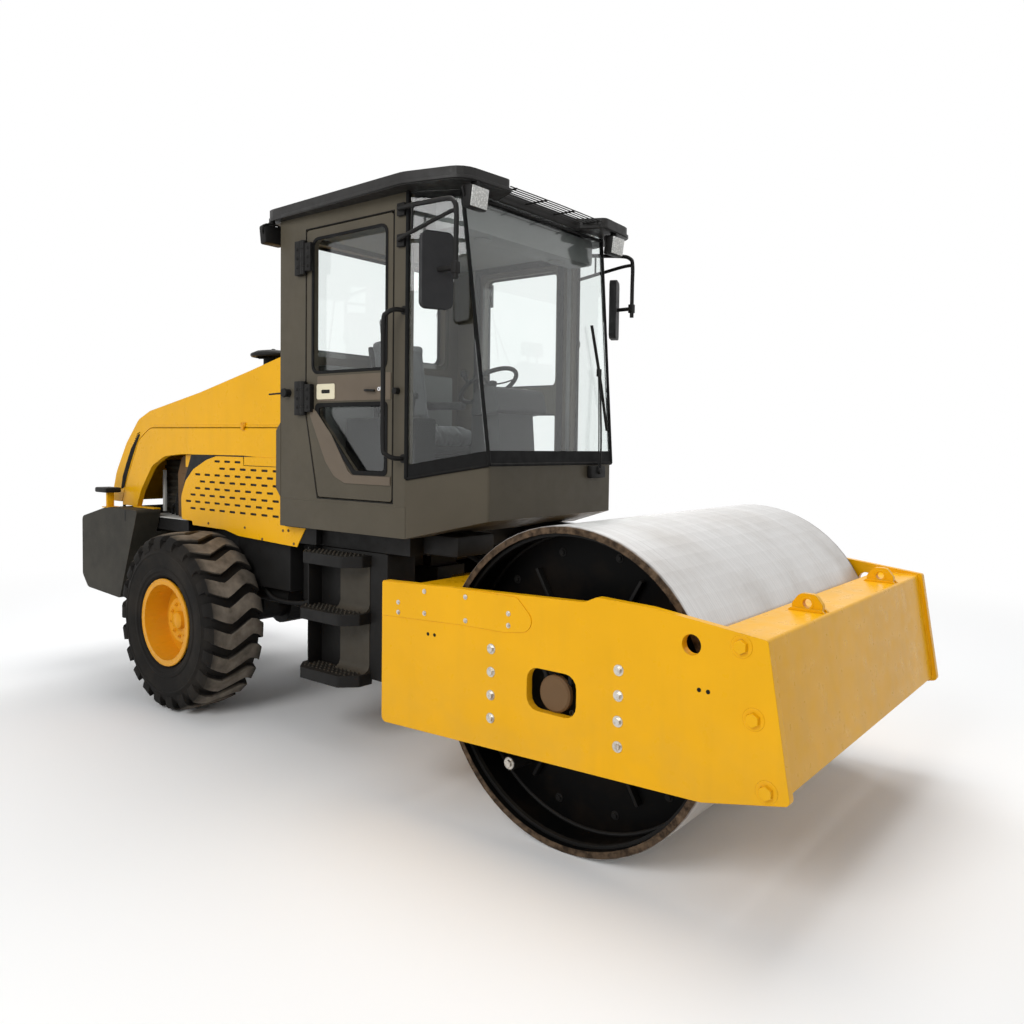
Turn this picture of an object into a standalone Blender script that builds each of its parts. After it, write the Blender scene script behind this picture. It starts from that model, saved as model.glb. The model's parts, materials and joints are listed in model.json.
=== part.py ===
"""Single-drum articulated road roller with a closed cab.

Metres, +X forward (drum end), +Y left, +Z up.  Design coordinates are measured from the
drum's axle (x = 0) and from the ground (z = 0); every object is then shifted by ORIGIN_X,
so that the world origin lies on the ground at the middle of the machine's length.
Outlines are lists of (x, z) or (x, y) corners, and rounded() turns corners into arcs.
"""
import math

import bmesh
import bpy
from mathutils import Matrix, Vector

# ---------------------------------------------------------------- driving dimensions
ORIGIN_X = 1.925          # drum axle, ahead of the world origin
TOUCH = 0.0003            # gap between two pieces that are bolted or glued together
RUN = 0.006               # gap between a moving piece and its neighbour

DRUM_RADIUS = 0.75
DRUM_WIDTH = 2.08
DRUM_HEAD_INSET = 0.20    # how deep the end plates lie inside the shell
DRUM_SHELL = 0.035
DRUM_HUB_RADIUS = 0.17

YOKE_WIDTH = 2.28
YOKE_PLATE = 0.04
YOKE_REAR_X = -1.10
YOKE_REAR_TOP = 1.148
YOKE_REAR_BOTTOM = 0.405
YOKE_FRONT_TOP = (1.0, 1.147)
YOKE_FRONT_BOTTOM = (1.10, 0.545)

PIVOT_X = -1.50           # vertical steering pin
PIVOT_PIN_RADIUS = 0.045
PIN_CLEARANCE = 0.0008    # round every hinge pin and in the cylinders

STEER_BASE = (-0.62, 0.26)   # cylinder's base pin, from the pivot (rear frame)
STEER_EYE = (0.22, 0.32)     # rod's eye, from the pivot (front frame)
STEER_Z = 0.75

WHEEL_X = -3.32
TYRE_RADIUS = 0.611
TYRE_OUTER_Y = 1.12
TYRE_WIDTH = 0.42
RIM_RADIUS = 0.30
RIM_DISC_Y = 0.92

CAB_HALF = 0.825
CAB_REAR_X = -2.41
CAB_CORNER_X = -1.268     # where the side turns into the angled front panel
CAB_FRONT_X = -0.832
CAB_FRONT_HALF = 0.611
CAB_FRONT_TOP_X = -0.98
CAB_FRONT_TOP_HALF = 0.684
CAB_FLOOR_BOTTOM = 1.323
CAB_FLOOR_TOP = 1.50
CAB_FRONT_BOTTOM = 1.436
CAB_SILL_CORNER = 1.656   # glass sill at the corner
CAB_SILL_FRONT = 1.749    # glass sill at the front
CAB_ROOF_BOTTOM = 3.25
CAB_WALL = 0.06
GLASS = 0.010

DOOR_REAR_X = -2.15
DOOR_FRONT_X = -1.37
DOOR_SLANT_Z = 2.035      # below this the rear edge slants forward
DOOR_FOOT_X = -2.035      # rear edge at the door's foot
DOOR_TOP = 3.155
DOOR_THICK = 0.045
DOOR_SILL = 0.02          # doorway's foot, above the cab floor
DOOR_HINGES = (2.13, 2.99)   # heights of the two hinges
HINGE_RADIUS = 0.018
HINGE_KNUCKLE = 0.10      # the door's knuckle, between two ears on the frame
HINGE_EAR = 0.05
DOOR_HINGE_OUT = 0.022    # hinge axis stands this far outside the cab's side

ROOF_THICK = 0.07
ROOF_REAR_X = -2.54
ROOF_HALF = 0.93
ROOF_EAR_X = -0.81        # front edge of the two ears beside the visor
ROOF_NOTCH_X = -0.98
ROOF_NOTCH_HALF = 0.40

MIRROR_WIDTH = 0.19
MIRROR_DEPTH = 0.05
MIRROR_YAW = 25           # degrees, outer edge turned to the rear
# side: (x, |y|, bottom, top) of the mirror head
MIRRORS = {-1: (-0.93, 0.96, 2.57, 2.95), 1: (-1.00, 0.90, 2.61, 3.00)}

STEP_REAR_X = -2.22
STEP_FRONT_X = -1.68
STEP_TANK_FRONT_X = -1.54
STEP_TANK_IN = 0.46
STEP_TANK_OUT = 0.70      # stays clear of the yoke's rear corner at full lock
STEP_OUT = 0.88
STEP_BOTTOM = 0.41
STEP_TREAD_Z = (0.44, 0.81)

HOOD_HALF = 0.75
HOOD_WALL = 0.035
HOOD_FRONT_X = -2.45
HOOD_SEAM_Z = 1.953
HOOD_HINGE_X = -2.430     # between the hood's front edge and the cab's rear wall
HOOD_HINGE_Z = 2.385
HOOD_HINGE_Y = 0.45
COUNTERWEIGHT_HALF = 0.90

CHASSIS_HALF = 0.40
CHASSIS_TOP = 1.20
CHASSIS_BOTTOM = 0.76
DECK_BOTTOM = 1.205       # underside of the cab's deck, which also carries the step tanks
SKIN = 0.04               # fixed side panels of the engine bay

# ---------------------------------------------------------------- scene and materials
for old in list(bpy.data.objects):
    bpy.data.objects.remove(old, do_unlink=True)

PARTS = bpy.data.collections.new("road_roller")
CUTTERS = bpy.data.collections.new("cutters")
bpy.context.scene.collection.children.link(PARTS)
bpy.context.scene.collection.children.link(CUTTERS)

# name: (red, green, blue, roughness, metallic)
FINISHES = {
    "yellow_paint": (0.80, 0.42, 0.01, 0.35, 0.0),
    "drum_steel": (0.45, 0.43, 0.41, 0.35, 1.0),
    "cab_paint": (0.10, 0.085, 0.055, 0.35, 0.3),
    "black_paint": (0.02, 0.02, 0.02, 0.5, 0.0),
    "grey_cast": (0.07, 0.062, 0.045, 0.6, 0.0),
    "roof_plastic": (0.09, 0.085, 0.08, 0.6, 0.0),
    "tyre_rubber": (0.025, 0.024, 0.022, 0.9, 0.0),
    "glass": (0.45, 0.55, 0.52, 0.05, 0.0),
    "seat_fabric": (0.05, 0.05, 0.055, 0.9, 0.0),
    "chrome": (0.8, 0.8, 0.8, 0.1, 1.0),
}


def material(name):
    """Return the named finish, made on first use."""
    if name in bpy.data.materials:
        return bpy.data.materials[name]
    red, green, blue, roughness, metallic = FINISHES[name]
    made = bpy.data.materials.new(name)
    made.use_nodes = True
    shader = made.node_tree.nodes["Principled BSDF"]
    shader.inputs["Base Color"].default_value = (red, green, blue, 1.0)
    shader.inputs["Roughness"].default_value = roughness
    shader.inputs["Metallic"].default_value = metallic
    return made


# ---------------------------------------------------------------- modelling helpers
def add_object(name, mesh, finish, smooth=False):
    """Link a mesh as a named part."""
    made = bpy.data.objects.new(name, mesh)
    PARTS.objects.link(made)
    if finish:
        mesh.materials.append(material(finish))
    if smooth:
        mesh.shade_smooth()
        mesh.set_sharp_from_angle(angle=math.radians(35))
    return made


def from_bmesh(name, bm, finish, smooth=False):
    mesh = bpy.data.meshes.new(name)
    bm.to_mesh(mesh)
    bm.free()
    return add_object(name, mesh, finish, smooth)


def box(name, low, high, finish=None):
    """A block between two opposite corners."""
    bm = bmesh.new()
    size = [high[i] - low[i] for i in range(3)]
    centre = [(high[i] + low[i]) / 2 for i in range(3)]
    bmesh.ops.create_cube(bm, size=1.0, matrix=Matrix.Translation(centre) @ Matrix.Diagonal((*size, 1)))
    return from_bmesh(name, bm, finish)


AXES = {"X": Matrix.Rotation(math.pi / 2, 4, "Y"), "Y": Matrix.Rotation(math.pi / 2, 4, "X"), "Z": Matrix()}


def cylinder(name, centre, radius, length, axis, finish=None, sides=20):
    """A round bar along X, Y or Z."""
    bm = bmesh.new()
    bmesh.ops.create_cone(bm, cap_ends=True, segments=sides, radius1=radius, radius2=radius, depth=length,
                          matrix=Matrix.Translation(centre) @ AXES[axis])
    return from_bmesh(name, bm, finish, smooth=True)


def torus(name, major, minor, matrix):
    """A ring around the Z axis, then placed by the matrix."""
    bpy.ops.mesh.primitive_torus_add(major_segments=20, minor_segments=6, major_radius=major, minor_radius=minor)
    ring = bpy.context.object
    mesh = ring.data
    bpy.data.objects.remove(ring, do_unlink=True)
    mesh.transform(matrix)
    return add_object(name, mesh, None, smooth=True)


def rounded(corners, steps=4):
    """Outline points from (u, v, radius) corners; a radius above 0 becomes an arc."""
    points = []
    count = len(corners)
    for i, (u, v, radius) in enumerate(corners):
        here = Vector((u, v))
        if radius <= 0:
            points.append(here)
            continue
        before = (Vector(corners[i - 1][:2]) - here).normalized()
        after = (Vector(corners[(i + 1) % count][:2]) - here).normalized()
        half = before.angle(after) / 2
        reach = radius / math.tan(half)
        centre = here + (before + after).normalized() * (radius / math.sin(half))
        start = here + before * reach - centre
        sweep = start.angle_signed(here + after * reach - centre)
        for k in range(steps + 1):
            turn = -sweep * k / steps
            c, s = math.cos(turn), math.sin(turn)
            points.append(centre + Vector((start.x * c - start.y * s, start.x * s + start.y * c)))
    return points


def outline_solid(name, corners, low, high, plane, finish=None, steps=4):
    """A flat outline, thick from low to high along the third axis.

    plane "XZ": corners are (x, z), thickness along Y.  "XY": thickness along Z.
    "YZ": thickness along X.
    """
    curve = bpy.data.curves.new(name, "CURVE")
    curve.dimensions = "2D"
    curve.fill_mode = "BOTH"
    curve.extrude = (high - low) / 2
    curve.resolution_u = 1
    points = rounded([(c[0], c[1], c[2] if len(c) > 2 else 0.0) for c in corners], steps)
    spline = curve.splines.new("POLY")
    spline.points.add(len(points) - 1)
    for place, point in zip(spline.points, points):
        place.co = (point.x, point.y, 0.0, 1.0)
    spline.use_cyclic_u = True
    middle = (high + low) / 2
    turns = {
        "XZ": Matrix.Translation((0, middle, 0)) @ Matrix.Rotation(math.pi / 2, 4, "X"),
        "XY": Matrix.Translation((0, 0, middle)),
        "YZ": Matrix.Translation((middle, 0, 0)) @ Matrix(((0, 0, 1, 0), (1, 0, 0, 0), (0, 1, 0, 0), (0, 0, 0, 1))),
    }
    return curve_to_mesh(name, curve, turns[plane], finish)


def curve_to_mesh(name, curve, matrix, finish, smooth=False):
    """Turn a curve into a mesh with welded caps, in world coordinates."""
    guide = bpy.data.objects.new(name + "_curve", curve)
    bpy.context.scene.collection.objects.link(guide)
    evaluated = guide.evaluated_get(bpy.context.evaluated_depsgraph_get())
    mesh = bpy.data.meshes.new_from_object(evaluated)
    bpy.data.objects.remove(guide, do_unlink=True)
    bpy.data.curves.remove(curve)
    mesh.name = name
    mesh.transform(matrix)
    bm = bmesh.new()
    bm.from_mesh(mesh)
    bmesh.ops.remove_doubles(bm, verts=bm.verts, dist=0.00001)
    bmesh.ops.recalc_face_normals(bm, faces=bm.faces)
    bm.to_mesh(mesh)
    bm.free()
    mesh.materials.clear()
    return add_object(name, mesh, finish, smooth)


def tube(name, points, radius, finish=None, sides=8):
    """A round bar through the given points."""
    curve = bpy.data.curves.new(name, "CURVE")
    curve.dimensions = "3D"
    curve.bevel_depth = radius
    curve.bevel_resolution = max(0, sides // 4)
    curve.use_fill_caps = True
    spline = curve.splines.new("POLY")
    spline.points.add(len(points) - 1)
    for place, point in zip(spline.points, points):
        place.co = (*point, 1.0)
    return curve_to_mesh(name, curve, Matrix(), finish, smooth=True)


def slab(name, corners, thickness, finish):
    """A pane on a quadrilateral, with its thickness behind the face."""
    bm = bmesh.new()
    bm.faces.new([bm.verts.new(c) for c in corners])
    made = from_bmesh(name, bm, finish)
    shell = made.modifiers.new("thickness", "SOLIDIFY")
    shell.thickness = thickness
    shell.offset = -1.0
    return made


def boolean(target, tool, operation):
    """Cut a tool out of a part, or join it on."""
    PARTS.objects.unlink(tool)
    CUTTERS.objects.link(tool)
    tool.hide_render = True
    tool.display_type = "WIRE"
    step = target.modifiers.new(tool.name, "BOOLEAN")
    step.operation = operation
    step.object = tool
    return target


def join(target, *tools):
    for tool in tools:
        boolean(target, tool, "UNION")
    return target


def cut(target, *tools):
    for tool in tools:
        boolean(target, tool, "DIFFERENCE")
    return target


def set_origin(made, point):
    """Put a moving part's origin on its joint."""
    made.data.transform(Matrix.Translation(-Vector(point)))
    made.location = Vector(point)
    return made


def side_name(side, rest):
    return ("right_" if side < 0 else "left_") + rest


# ---------------------------------------------------------------- drum
DRUM_END = DRUM_WIDTH / 2
DRUM_HEAD_Y = DRUM_END - DRUM_HEAD_INSET


def build_drum():
    """Smooth shell with recessed end plates and a bearing hub at each end."""
    lip = DRUM_RADIUS - DRUM_SHELL
    hub_y = DRUM_HEAD_Y + 0.05
    right = [(0.0, -hub_y), (DRUM_HUB_RADIUS, -hub_y), (DRUM_HUB_RADIUS, -DRUM_HEAD_Y), (lip, -DRUM_HEAD_Y),
             (lip, -DRUM_END), (DRUM_RADIUS - 0.006, -DRUM_END), (DRUM_RADIUS, -DRUM_END + 0.006)]
    left = [(radius, -along) for radius, along in right]
    made = turned_solid("drum", left + right[::-1], "drum_steel", 64)
    return place(made, (0, 0, DRUM_RADIUS))


def turned_solid(name, profile, finish, steps, closed=False):
    """A (radius, y) profile turned about Y with a Screw modifier.

    An open profile starts and ends on the axis.  Its outer side runs from +y to -y.
    """
    bm = bmesh.new()
    verts = [bm.verts.new((radius, along, 0.0)) for radius, along in profile]
    for first, second in zip(verts, verts[1:]):
        bm.edges.new((first, second))
    if closed:
        bm.edges.new((verts[-1], verts[0]))
    made = from_bmesh(name, bm, finish)
    turn = made.modifiers.new("turn", "SCREW")
    turn.axis = "Y"
    turn.steps = steps
    turn.render_steps = steps
    turn.use_merge_vertices = True
    turn.merge_threshold = 0.00001
    turn.use_smooth_shade = True
    return made


def place(made, point):
    """Move a part whose mesh was modelled around its own joint."""
    made.location = Vector(point)
    return made


# ---------------------------------------------------------------- yoke (front frame)
PLATE_IN = YOKE_WIDTH / 2 - YOKE_PLATE


def build_yoke_plate(side):
    """Side plate: raked rectangle with a raised pad in front, eye hole and hub window."""
    outline = [
        (YOKE_REAR_X, YOKE_REAR_BOTTOM, 0.03), (0.74, 0.466, 0.1), (*YOKE_FRONT_BOTTOM, 0.02),
        (*YOKE_FRONT_TOP, 0.015), (0.50, 1.207, 0.3), (0.235, 1.218, 0.04), (0.17, 1.189, 0.04),
        (YOKE_REAR_X, YOKE_REAR_TOP, 0.015),
    ]
    low, high = sorted((side * PLATE_IN, side * YOKE_WIDTH / 2))
    name = "yoke_right_plate" if side < 0 else "yoke_left_plate"
    plate = outline_solid(name, outline, low, high, "XZ", "yellow_paint")
    window = outline_solid(name + "_window", [(-0.137, 0.665, 0.06), (0.137, 0.665, 0.06), (0.137, 0.86, 0.06),
                                              (-0.137, 0.86, 0.06)], low - 0.05, high + 0.05, "XZ")
    eye = cylinder(name + "_eye", (0.685, (low + high) / 2, 1.084), 0.042, 0.2, "Y", sides=24)
    return cut(plate, window, eye)


def build_front_beam():
    """Box section across the front, with two lifting lugs on top."""
    half = PLATE_IN - TOUCH
    outline = [(0.80, 0.56), (1.072, 0.56), (0.978, 1.137, 0.015), (0.74, 1.137, 0.01), (0.815, 0.80)]
    beam = outline_solid("yoke_front_beam", outline, -half, half, "XZ", "yellow_paint")
    for name, y in (("lug_right", -0.397), ("lug_left", 0.711)):
        shape = [(0.81, 1.12), (0.95, 1.12), (0.95, 1.17, 0.03), (0.915, 1.215, 0.035), (0.845, 1.215, 0.035),
                 (0.81, 1.17, 0.03)]
        lug = outline_solid(name, shape, y - 0.015, y + 0.015, "XZ")
        hole = cylinder(name + "_hole", (0.88, y, 1.172), 0.02, 0.1, "Y", sides=16)
        join(beam, lug)
        cut(beam, hole)
    return beam


REAR_BEAM_FRONT_X = -0.85


def build_rear_beam():
    """Cross member behind the drum, with the steering fork, its pin and the rod lugs."""
    half = PLATE_IN - TOUCH
    rear = YOKE_REAR_X
    outline = [(rear, 0.47), (REAR_BEAM_FRONT_X - 0.05, 0.47), (REAR_BEAM_FRONT_X - 0.02, 0.75),
               (REAR_BEAM_FRONT_X, 0.95), (REAR_BEAM_FRONT_X, 1.10), (rear, 1.10)]
    beam = outline_solid("yoke_rear_beam", outline, -half, half, "XZ", "yellow_paint")
    for name, low, high in (("fork_low", 0.50, 0.54), ("fork_high", 0.96, 1.00)):
        shape = [(rear + 0.05, -0.26), (rear + 0.05, 0.26), (PIVOT_X - 0.11, 0.11, 0.10), (PIVOT_X - 0.11, -0.11, 0.10)]
        join(beam, outline_solid(name, shape, low, high, "XY"))
    join(beam, cylinder("pivot_pin", (PIVOT_X, 0, 0.75), PIVOT_PIN_RADIUS, 0.53, "Z", sides=32))
    eye_x = PIVOT_X + STEER_EYE[0]
    for side in (-1, 1):
        y = side * STEER_EYE[1]
        for level, z in (("low", STEER_Z - 0.055), ("high", STEER_Z + 0.055)):
            shape = [(rear + 0.05, y - 0.05), (rear + 0.05, y + 0.05), (eye_x - 0.04, y + 0.04, 0.035),
                     (eye_x - 0.04, y - 0.04, 0.035)]
            join(beam, outline_solid(side_name(side, "rod_lug_" + level), shape, z - 0.012, z + 0.012, "XY"))
    return beam


def build_drum_carrier(side):
    """Flat carrier on eight rubber buffers, with the bearing housing of the drum."""
    name = side_name(side, "drum_carrier")
    inner = side * (DRUM_HEAD_Y + 0.10)
    outer = side * (DRUM_HEAD_Y + 0.13)
    low, high = sorted((inner, outer))
    z = DRUM_RADIUS
    plate = outline_solid(name, [(-0.43, z - 0.24, 0.05), (0.43, z - 0.24, 0.05), (0.43, z + 0.24, 0.05),
                                 (-0.43, z + 0.24, 0.05)], low, high, "XZ", "grey_cast")
    reach_in = side * (DRUM_HEAD_Y + 0.05 + 0.001)
    reach_out = side * (DRUM_HEAD_Y + 0.19)
    hub = cylinder(name + "_hub", (0, (reach_in + reach_out) / 2, z), 0.13, abs(reach_out - reach_in), "Y")
    join(plate, hub)
    seat_y = side * (PLATE_IN - TOUCH)
    for x in (-0.35, 0.35):
        for dz in (-0.12, 0.12):
            length = abs(seat_y - inner) - 0.01
            buffer_y = seat_y - side * length / 2
            join(plate, cylinder(name + "_buffer", (x, buffer_y, z + dz), 0.075, length, "Y", sides=16))
    return plate


def build_scraper():
    """Scraper blade behind the drum on two arms from the rear beam."""
    half = DRUM_END - 0.04
    blade = outline_solid("drum_scraper", [(-0.760, 0.955), (-0.725, 0.972), (-0.80, 1.055), (-0.82, 1.055)],
                          -half, half, "XZ", "black_paint")
    for name, y in (("scraper_arm_right", -0.7), ("scraper_arm_left", 0.7)):
        arm = box(name, (REAR_BEAM_FRONT_X + TOUCH, y - 0.03, 1.02), (-0.775, y + 0.03, 1.045))
        join(blade, arm)
    return blade


# ---------------------------------------------------------------- rear frame
def build_chassis():
    """Rear frame: engine box, neck to the pivot, cab deck and cylinder brackets."""
    half = CHASSIS_HALF
    main = box("rear_chassis", (-4.40, -half, CHASSIS_BOTTOM), (-2.25, half, CHASSIS_TOP), "black_paint")
    neck = box("neck", (-2.30, -0.13, 0.56), (-1.68, 0.13, 1.05))
    deck = box("deck", (-2.45, -0.70, DECK_BOTTOM), (-1.35, 0.70, CAB_FLOOR_BOTTOM - TOUCH))
    width = HOOD_HALF - SKIN - TOUCH
    bulkhead = box("bulkhead", (-2.53, -width, CHASSIS_TOP - 0.02), (-2.48, width, HOOD_SEAM_Z - 0.02))
    floor = box("bulkhead_foot", (-2.53, -0.69, DECK_BOTTOM), (-2.44, 0.69, CAB_FLOOR_BOTTOM - 0.01))
    riser = box("riser", (-2.30, -0.12, 1.00), (-1.75, 0.12, 1.26))
    join(main, neck, riser, deck, bulkhead, floor)
    base_x = PIVOT_X + STEER_BASE[0]
    for side in (-1, 1):
        y = side * STEER_BASE[1]
        for level, z in (("low", STEER_Z - 0.055), ("high", STEER_Z + 0.055)):
            shape = [(-2.24, y - 0.05), (base_x + 0.045, y - 0.045, 0.035), (base_x + 0.045, y + 0.045, 0.035),
                     (-2.24, y + 0.05)]
            join(main, outline_solid(side_name(side, "base_lug_" + level), shape, z - 0.012, z + 0.012, "XY"))
        join(main, box(side_name(side, "base_web"), (-2.29, y - 0.05, 0.68), (-2.22, y + 0.05, 0.83)))
        join(main, cylinder(side_name(side, "base_pin"), (base_x, y, STEER_Z), 0.022, 0.13, "Z", sides=24))
        low, high = sorted((side * (half - 0.02), side * 0.70))
        join(main, box(side_name(side, "ledge"), (-4.39, low, 1.17), (-3.70, high, 1.26)))
    return main


def build_articulation():
    """Bearing block of the steering pin, at the neck's end."""
    block = box("articulation_block", (-1.68 + TOUCH, -0.11, 0.60), (PIVOT_X, 0.11, 0.90), "black_paint")
    barrel = cylinder("bearing", (PIVOT_X, 0, 0.75), 0.105, 0.40, "Z", sides=24)
    bore = cylinder("bearing_bore", (PIVOT_X, 0, 0.75), PIVOT_PIN_RADIUS + PIN_CLEARANCE, 0.6, "Z", sides=32)
    join(block, barrel)
    return cut(block, bore)


def build_axle():
    """Driven axle: centre housing, tubes, pads under the frame and wheel flanges."""
    z = TYRE_RADIUS
    tube_half = RIM_DISC_Y - 0.06
    axle = cylinder("rear_axle", (WHEEL_X, 0, z), 0.095, 2 * tube_half, "Y", "black_paint")
    centre = cylinder("differential", (WHEEL_X, 0, z), CHASSIS_BOTTOM - z - 0.004, 0.34, "Y")
    join(axle, centre)
    for side in (-1, 1):
        join(axle, cylinder(side_name(side, "flange"), (WHEEL_X, side * (RIM_DISC_Y - 0.10), z), 0.15,
                            0.20 - 2 * TOUCH, "Y"))
        join(axle, box(side_name(side, "pad"), (WHEEL_X - 0.10, side * 0.31 - 0.07, z),
                       (WHEEL_X + 0.10, side * 0.31 + 0.07, CHASSIS_BOTTOM - TOUCH)))
    return axle


def build_counterweight():
    outline = [(-4.34, 0.63, 0.02), (-4.86, 0.66, 0.06), (-4.95, 0.76, 0.05), (-4.95, 1.23, 0.04),
               (-4.55, 1.325, 0.10), (-4.07, 1.325, 0.02)]
    weight = outline_solid("counterweight", outline, -COUNTERWEIGHT_HALF, COUNTERWEIGHT_HALF, "XZ", "grey_cast")
    pocket = box("frame_pocket", (-4.45, -0.71, 1.15), (-4.0, 0.71, 1.40))
    pocket_low = box("frame_pocket_low", (-4.4 - TOUCH, -CHASSIS_HALF - 0.01, 0.5), (-4.0, CHASSIS_HALF + 0.01, 1.30))
    return cut(weight, pocket, pocket_low)


HOOD_TOP = [(HOOD_FRONT_X, 2.425, 0.03), (-2.85, 2.335, 0.3), (-3.46, 2.205, 0.4), (-4.16, 2.08, 0.15),
            (-4.33, 2.015, 0.12), (-4.52, 1.83, 0.25), (-4.68, 1.60, 0.3), (-4.77, 1.36, 0.02)]


def build_hood():
    """Engine hood: open-bottomed shell over the engine, with the sloping tail."""
    lower = [(-4.60, 1.36, 0.01), (-4.53, 1.52, 0.2), (-4.33, 1.86, 0.15), (-4.16, HOOD_SEAM_Z, 0.15),
             (HOOD_FRONT_X, HOOD_SEAM_Z, 0.0)]
    outline = list(reversed(HOOD_TOP + lower))
    hood = outline_solid("hood", outline, -HOOD_HALF, HOOD_HALF, "XZ", "yellow_paint")
    soften = hood.modifiers.new("soft_edges", "BEVEL")
    soften.width = 0.02
    soften.segments = 2
    soften.limit_method = "ANGLE"
    soften.angle_limit = math.radians(60)
    wall = HOOD_WALL
    inner = [(HOOD_FRONT_X - wall, 1.80), (HOOD_FRONT_X - wall, 2.425 - wall - 0.01), (-2.85, 2.335 - wall),
             (-3.46, 2.205 - wall), (-4.16, 2.08 - wall), (-4.30, 2.015 - wall), (-4.49, 1.81),
             (-4.64, 1.59), (-4.73, 1.30), (-4.30, 1.30), (-4.30, 1.80)]
    half = HOOD_HALF - wall
    cavity = outline_solid("hood_cavity", list(reversed(inner)), -half, half, "XZ")
    cut(hood, cavity)
    for side in (-1, 1):
        y = side * HOOD_HINGE_Y
        join(hood, cylinder(side_name(side, "hood_knuckle"), (HOOD_HINGE_X, y, HOOD_HINGE_Z), 0.014, 0.08, "Y", sides=16))
        join(hood, box(side_name(side, "hood_strap"), (HOOD_FRONT_X - 0.02, y - 0.035, HOOD_HINGE_Z - 0.012),
                       (HOOD_HINGE_X, y + 0.035, HOOD_HINGE_Z + 0.01)))
    return set_origin(hood, (HOOD_HINGE_X, 0, HOOD_HINGE_Z))


ARCH = [(-4.36, 1.335, 0.0), (-4.30, 1.46, 0.2), (-4.13, 1.66, 0.15), (-3.95, 1.735, 0.1), (-3.73, 1.755, 0.0),
        (-2.93, 1.76, 0.0), (-2.54, 1.74, 0.0), (HOOD_FRONT_X, 1.74, 0.0)]


def build_fender(side):
    """Fixed lower side of the hood, with the wheel arch."""
    seam = HOOD_SEAM_Z - RUN
    upper = [(HOOD_FRONT_X, seam, 0.0), (-4.155, seam, 0.15), (-4.325, 1.855, 0.15), (-4.523, 1.518, 0.2),
             (-4.585, 1.375, 0.0), (-4.585, 1.335, 0.0)]
    low, high = sorted((side * (HOOD_HALF - SKIN), side * HOOD_HALF))
    return outline_solid(side_name(side, "fender"), ARCH + upper, low, high, "XZ", "yellow_paint")


def build_side_grille(side):
    """Perforated service panel between wheel and cab, under the fender."""
    top = 1.755 - TOUCH
    sole = DECK_BOTTOM + 0.005
    outline = [(-2.98, sole, 0.1), (-2.14, sole, 0.0), (-2.14, CAB_FLOOR_BOTTOM - 0.008, 0.0),
               (HOOD_FRONT_X, CAB_FLOOR_BOTTOM - 0.008, 0.0), (HOOD_FRONT_X, 1.7397, 0.0), (-2.54, 1.7397, 0.0),
               (-2.93, 1.7597, 0.0), (-3.58, top, 0.0), (-3.70, 1.50, 0.3), (-3.68, 1.315, 0.06),
               (-3.50, 1.285, 0.1)]
    low, high = sorted((side * (HOOD_HALF - SKIN), side * HOOD_HALF))
    return outline_solid(side_name(side, "side_grille"), outline, low, high, "XZ", "yellow_paint")


def build_engine():
    return box("engine_block", (-3.95, -0.34, CHASSIS_TOP + TOUCH), (-2.75, 0.34, 1.88), "black_paint")


def build_steps(side):
    """Boarding steps on a tank box, three treads between side plates."""
    name = side_name(side, "steps")
    inner, back, outer = side * STEP_TANK_IN, side * STEP_TANK_OUT, side * STEP_OUT
    low, high = sorted((inner, back))
    top = DECK_BOTTOM - TOUCH
    thick = 0.03
    tank = box(name, (STEP_REAR_X + 0.02, low, STEP_BOTTOM), (STEP_TANK_FRONT_X, high, top), "black_paint")
    low, high = sorted((back - side * 0.02, outer))
    for z in (*STEP_TREAD_Z, top - thick):
        join(tank, box(name + "_tread", (STEP_REAR_X, low, z - thick), (STEP_FRONT_X, high, z + thick)))
    low, high = sorted((back - side * 0.02, outer - side * 0.03))
    for x in (STEP_REAR_X, STEP_FRONT_X - 0.02):
        join(tank, box(name + "_side", (x, low, STEP_BOTTOM), (x + 0.02, high, top)))
    return tank


# ---------------------------------------------------------------- cab
def build_cab_base():
    """Floor platform with a skirt; its front rises over the drum."""
    inset = 0.05
    outline = [(CAB_REAR_X, -CAB_HALF), (CAB_CORNER_X, -CAB_HALF), (CAB_FRONT_X - inset, -CAB_FRONT_HALF + 0.03),
               (CAB_FRONT_X - inset, CAB_FRONT_HALF - 0.03), (CAB_CORNER_X, CAB_HALF), (CAB_REAR_X, CAB_HALF)]
    base = outline_solid("cab_base", outline, CAB_FLOOR_BOTTOM, CAB_FLOOR_TOP, "XY", "cab_paint")
    wedge = outline_solid("front_rise", [(CAB_CORNER_X, 1.20), (-0.5, 1.20), (-0.5, 1.522),
                                         (CAB_CORNER_X, CAB_FLOOR_BOTTOM)], -1, 1, "XZ")
    return cut(base, wedge)


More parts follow.
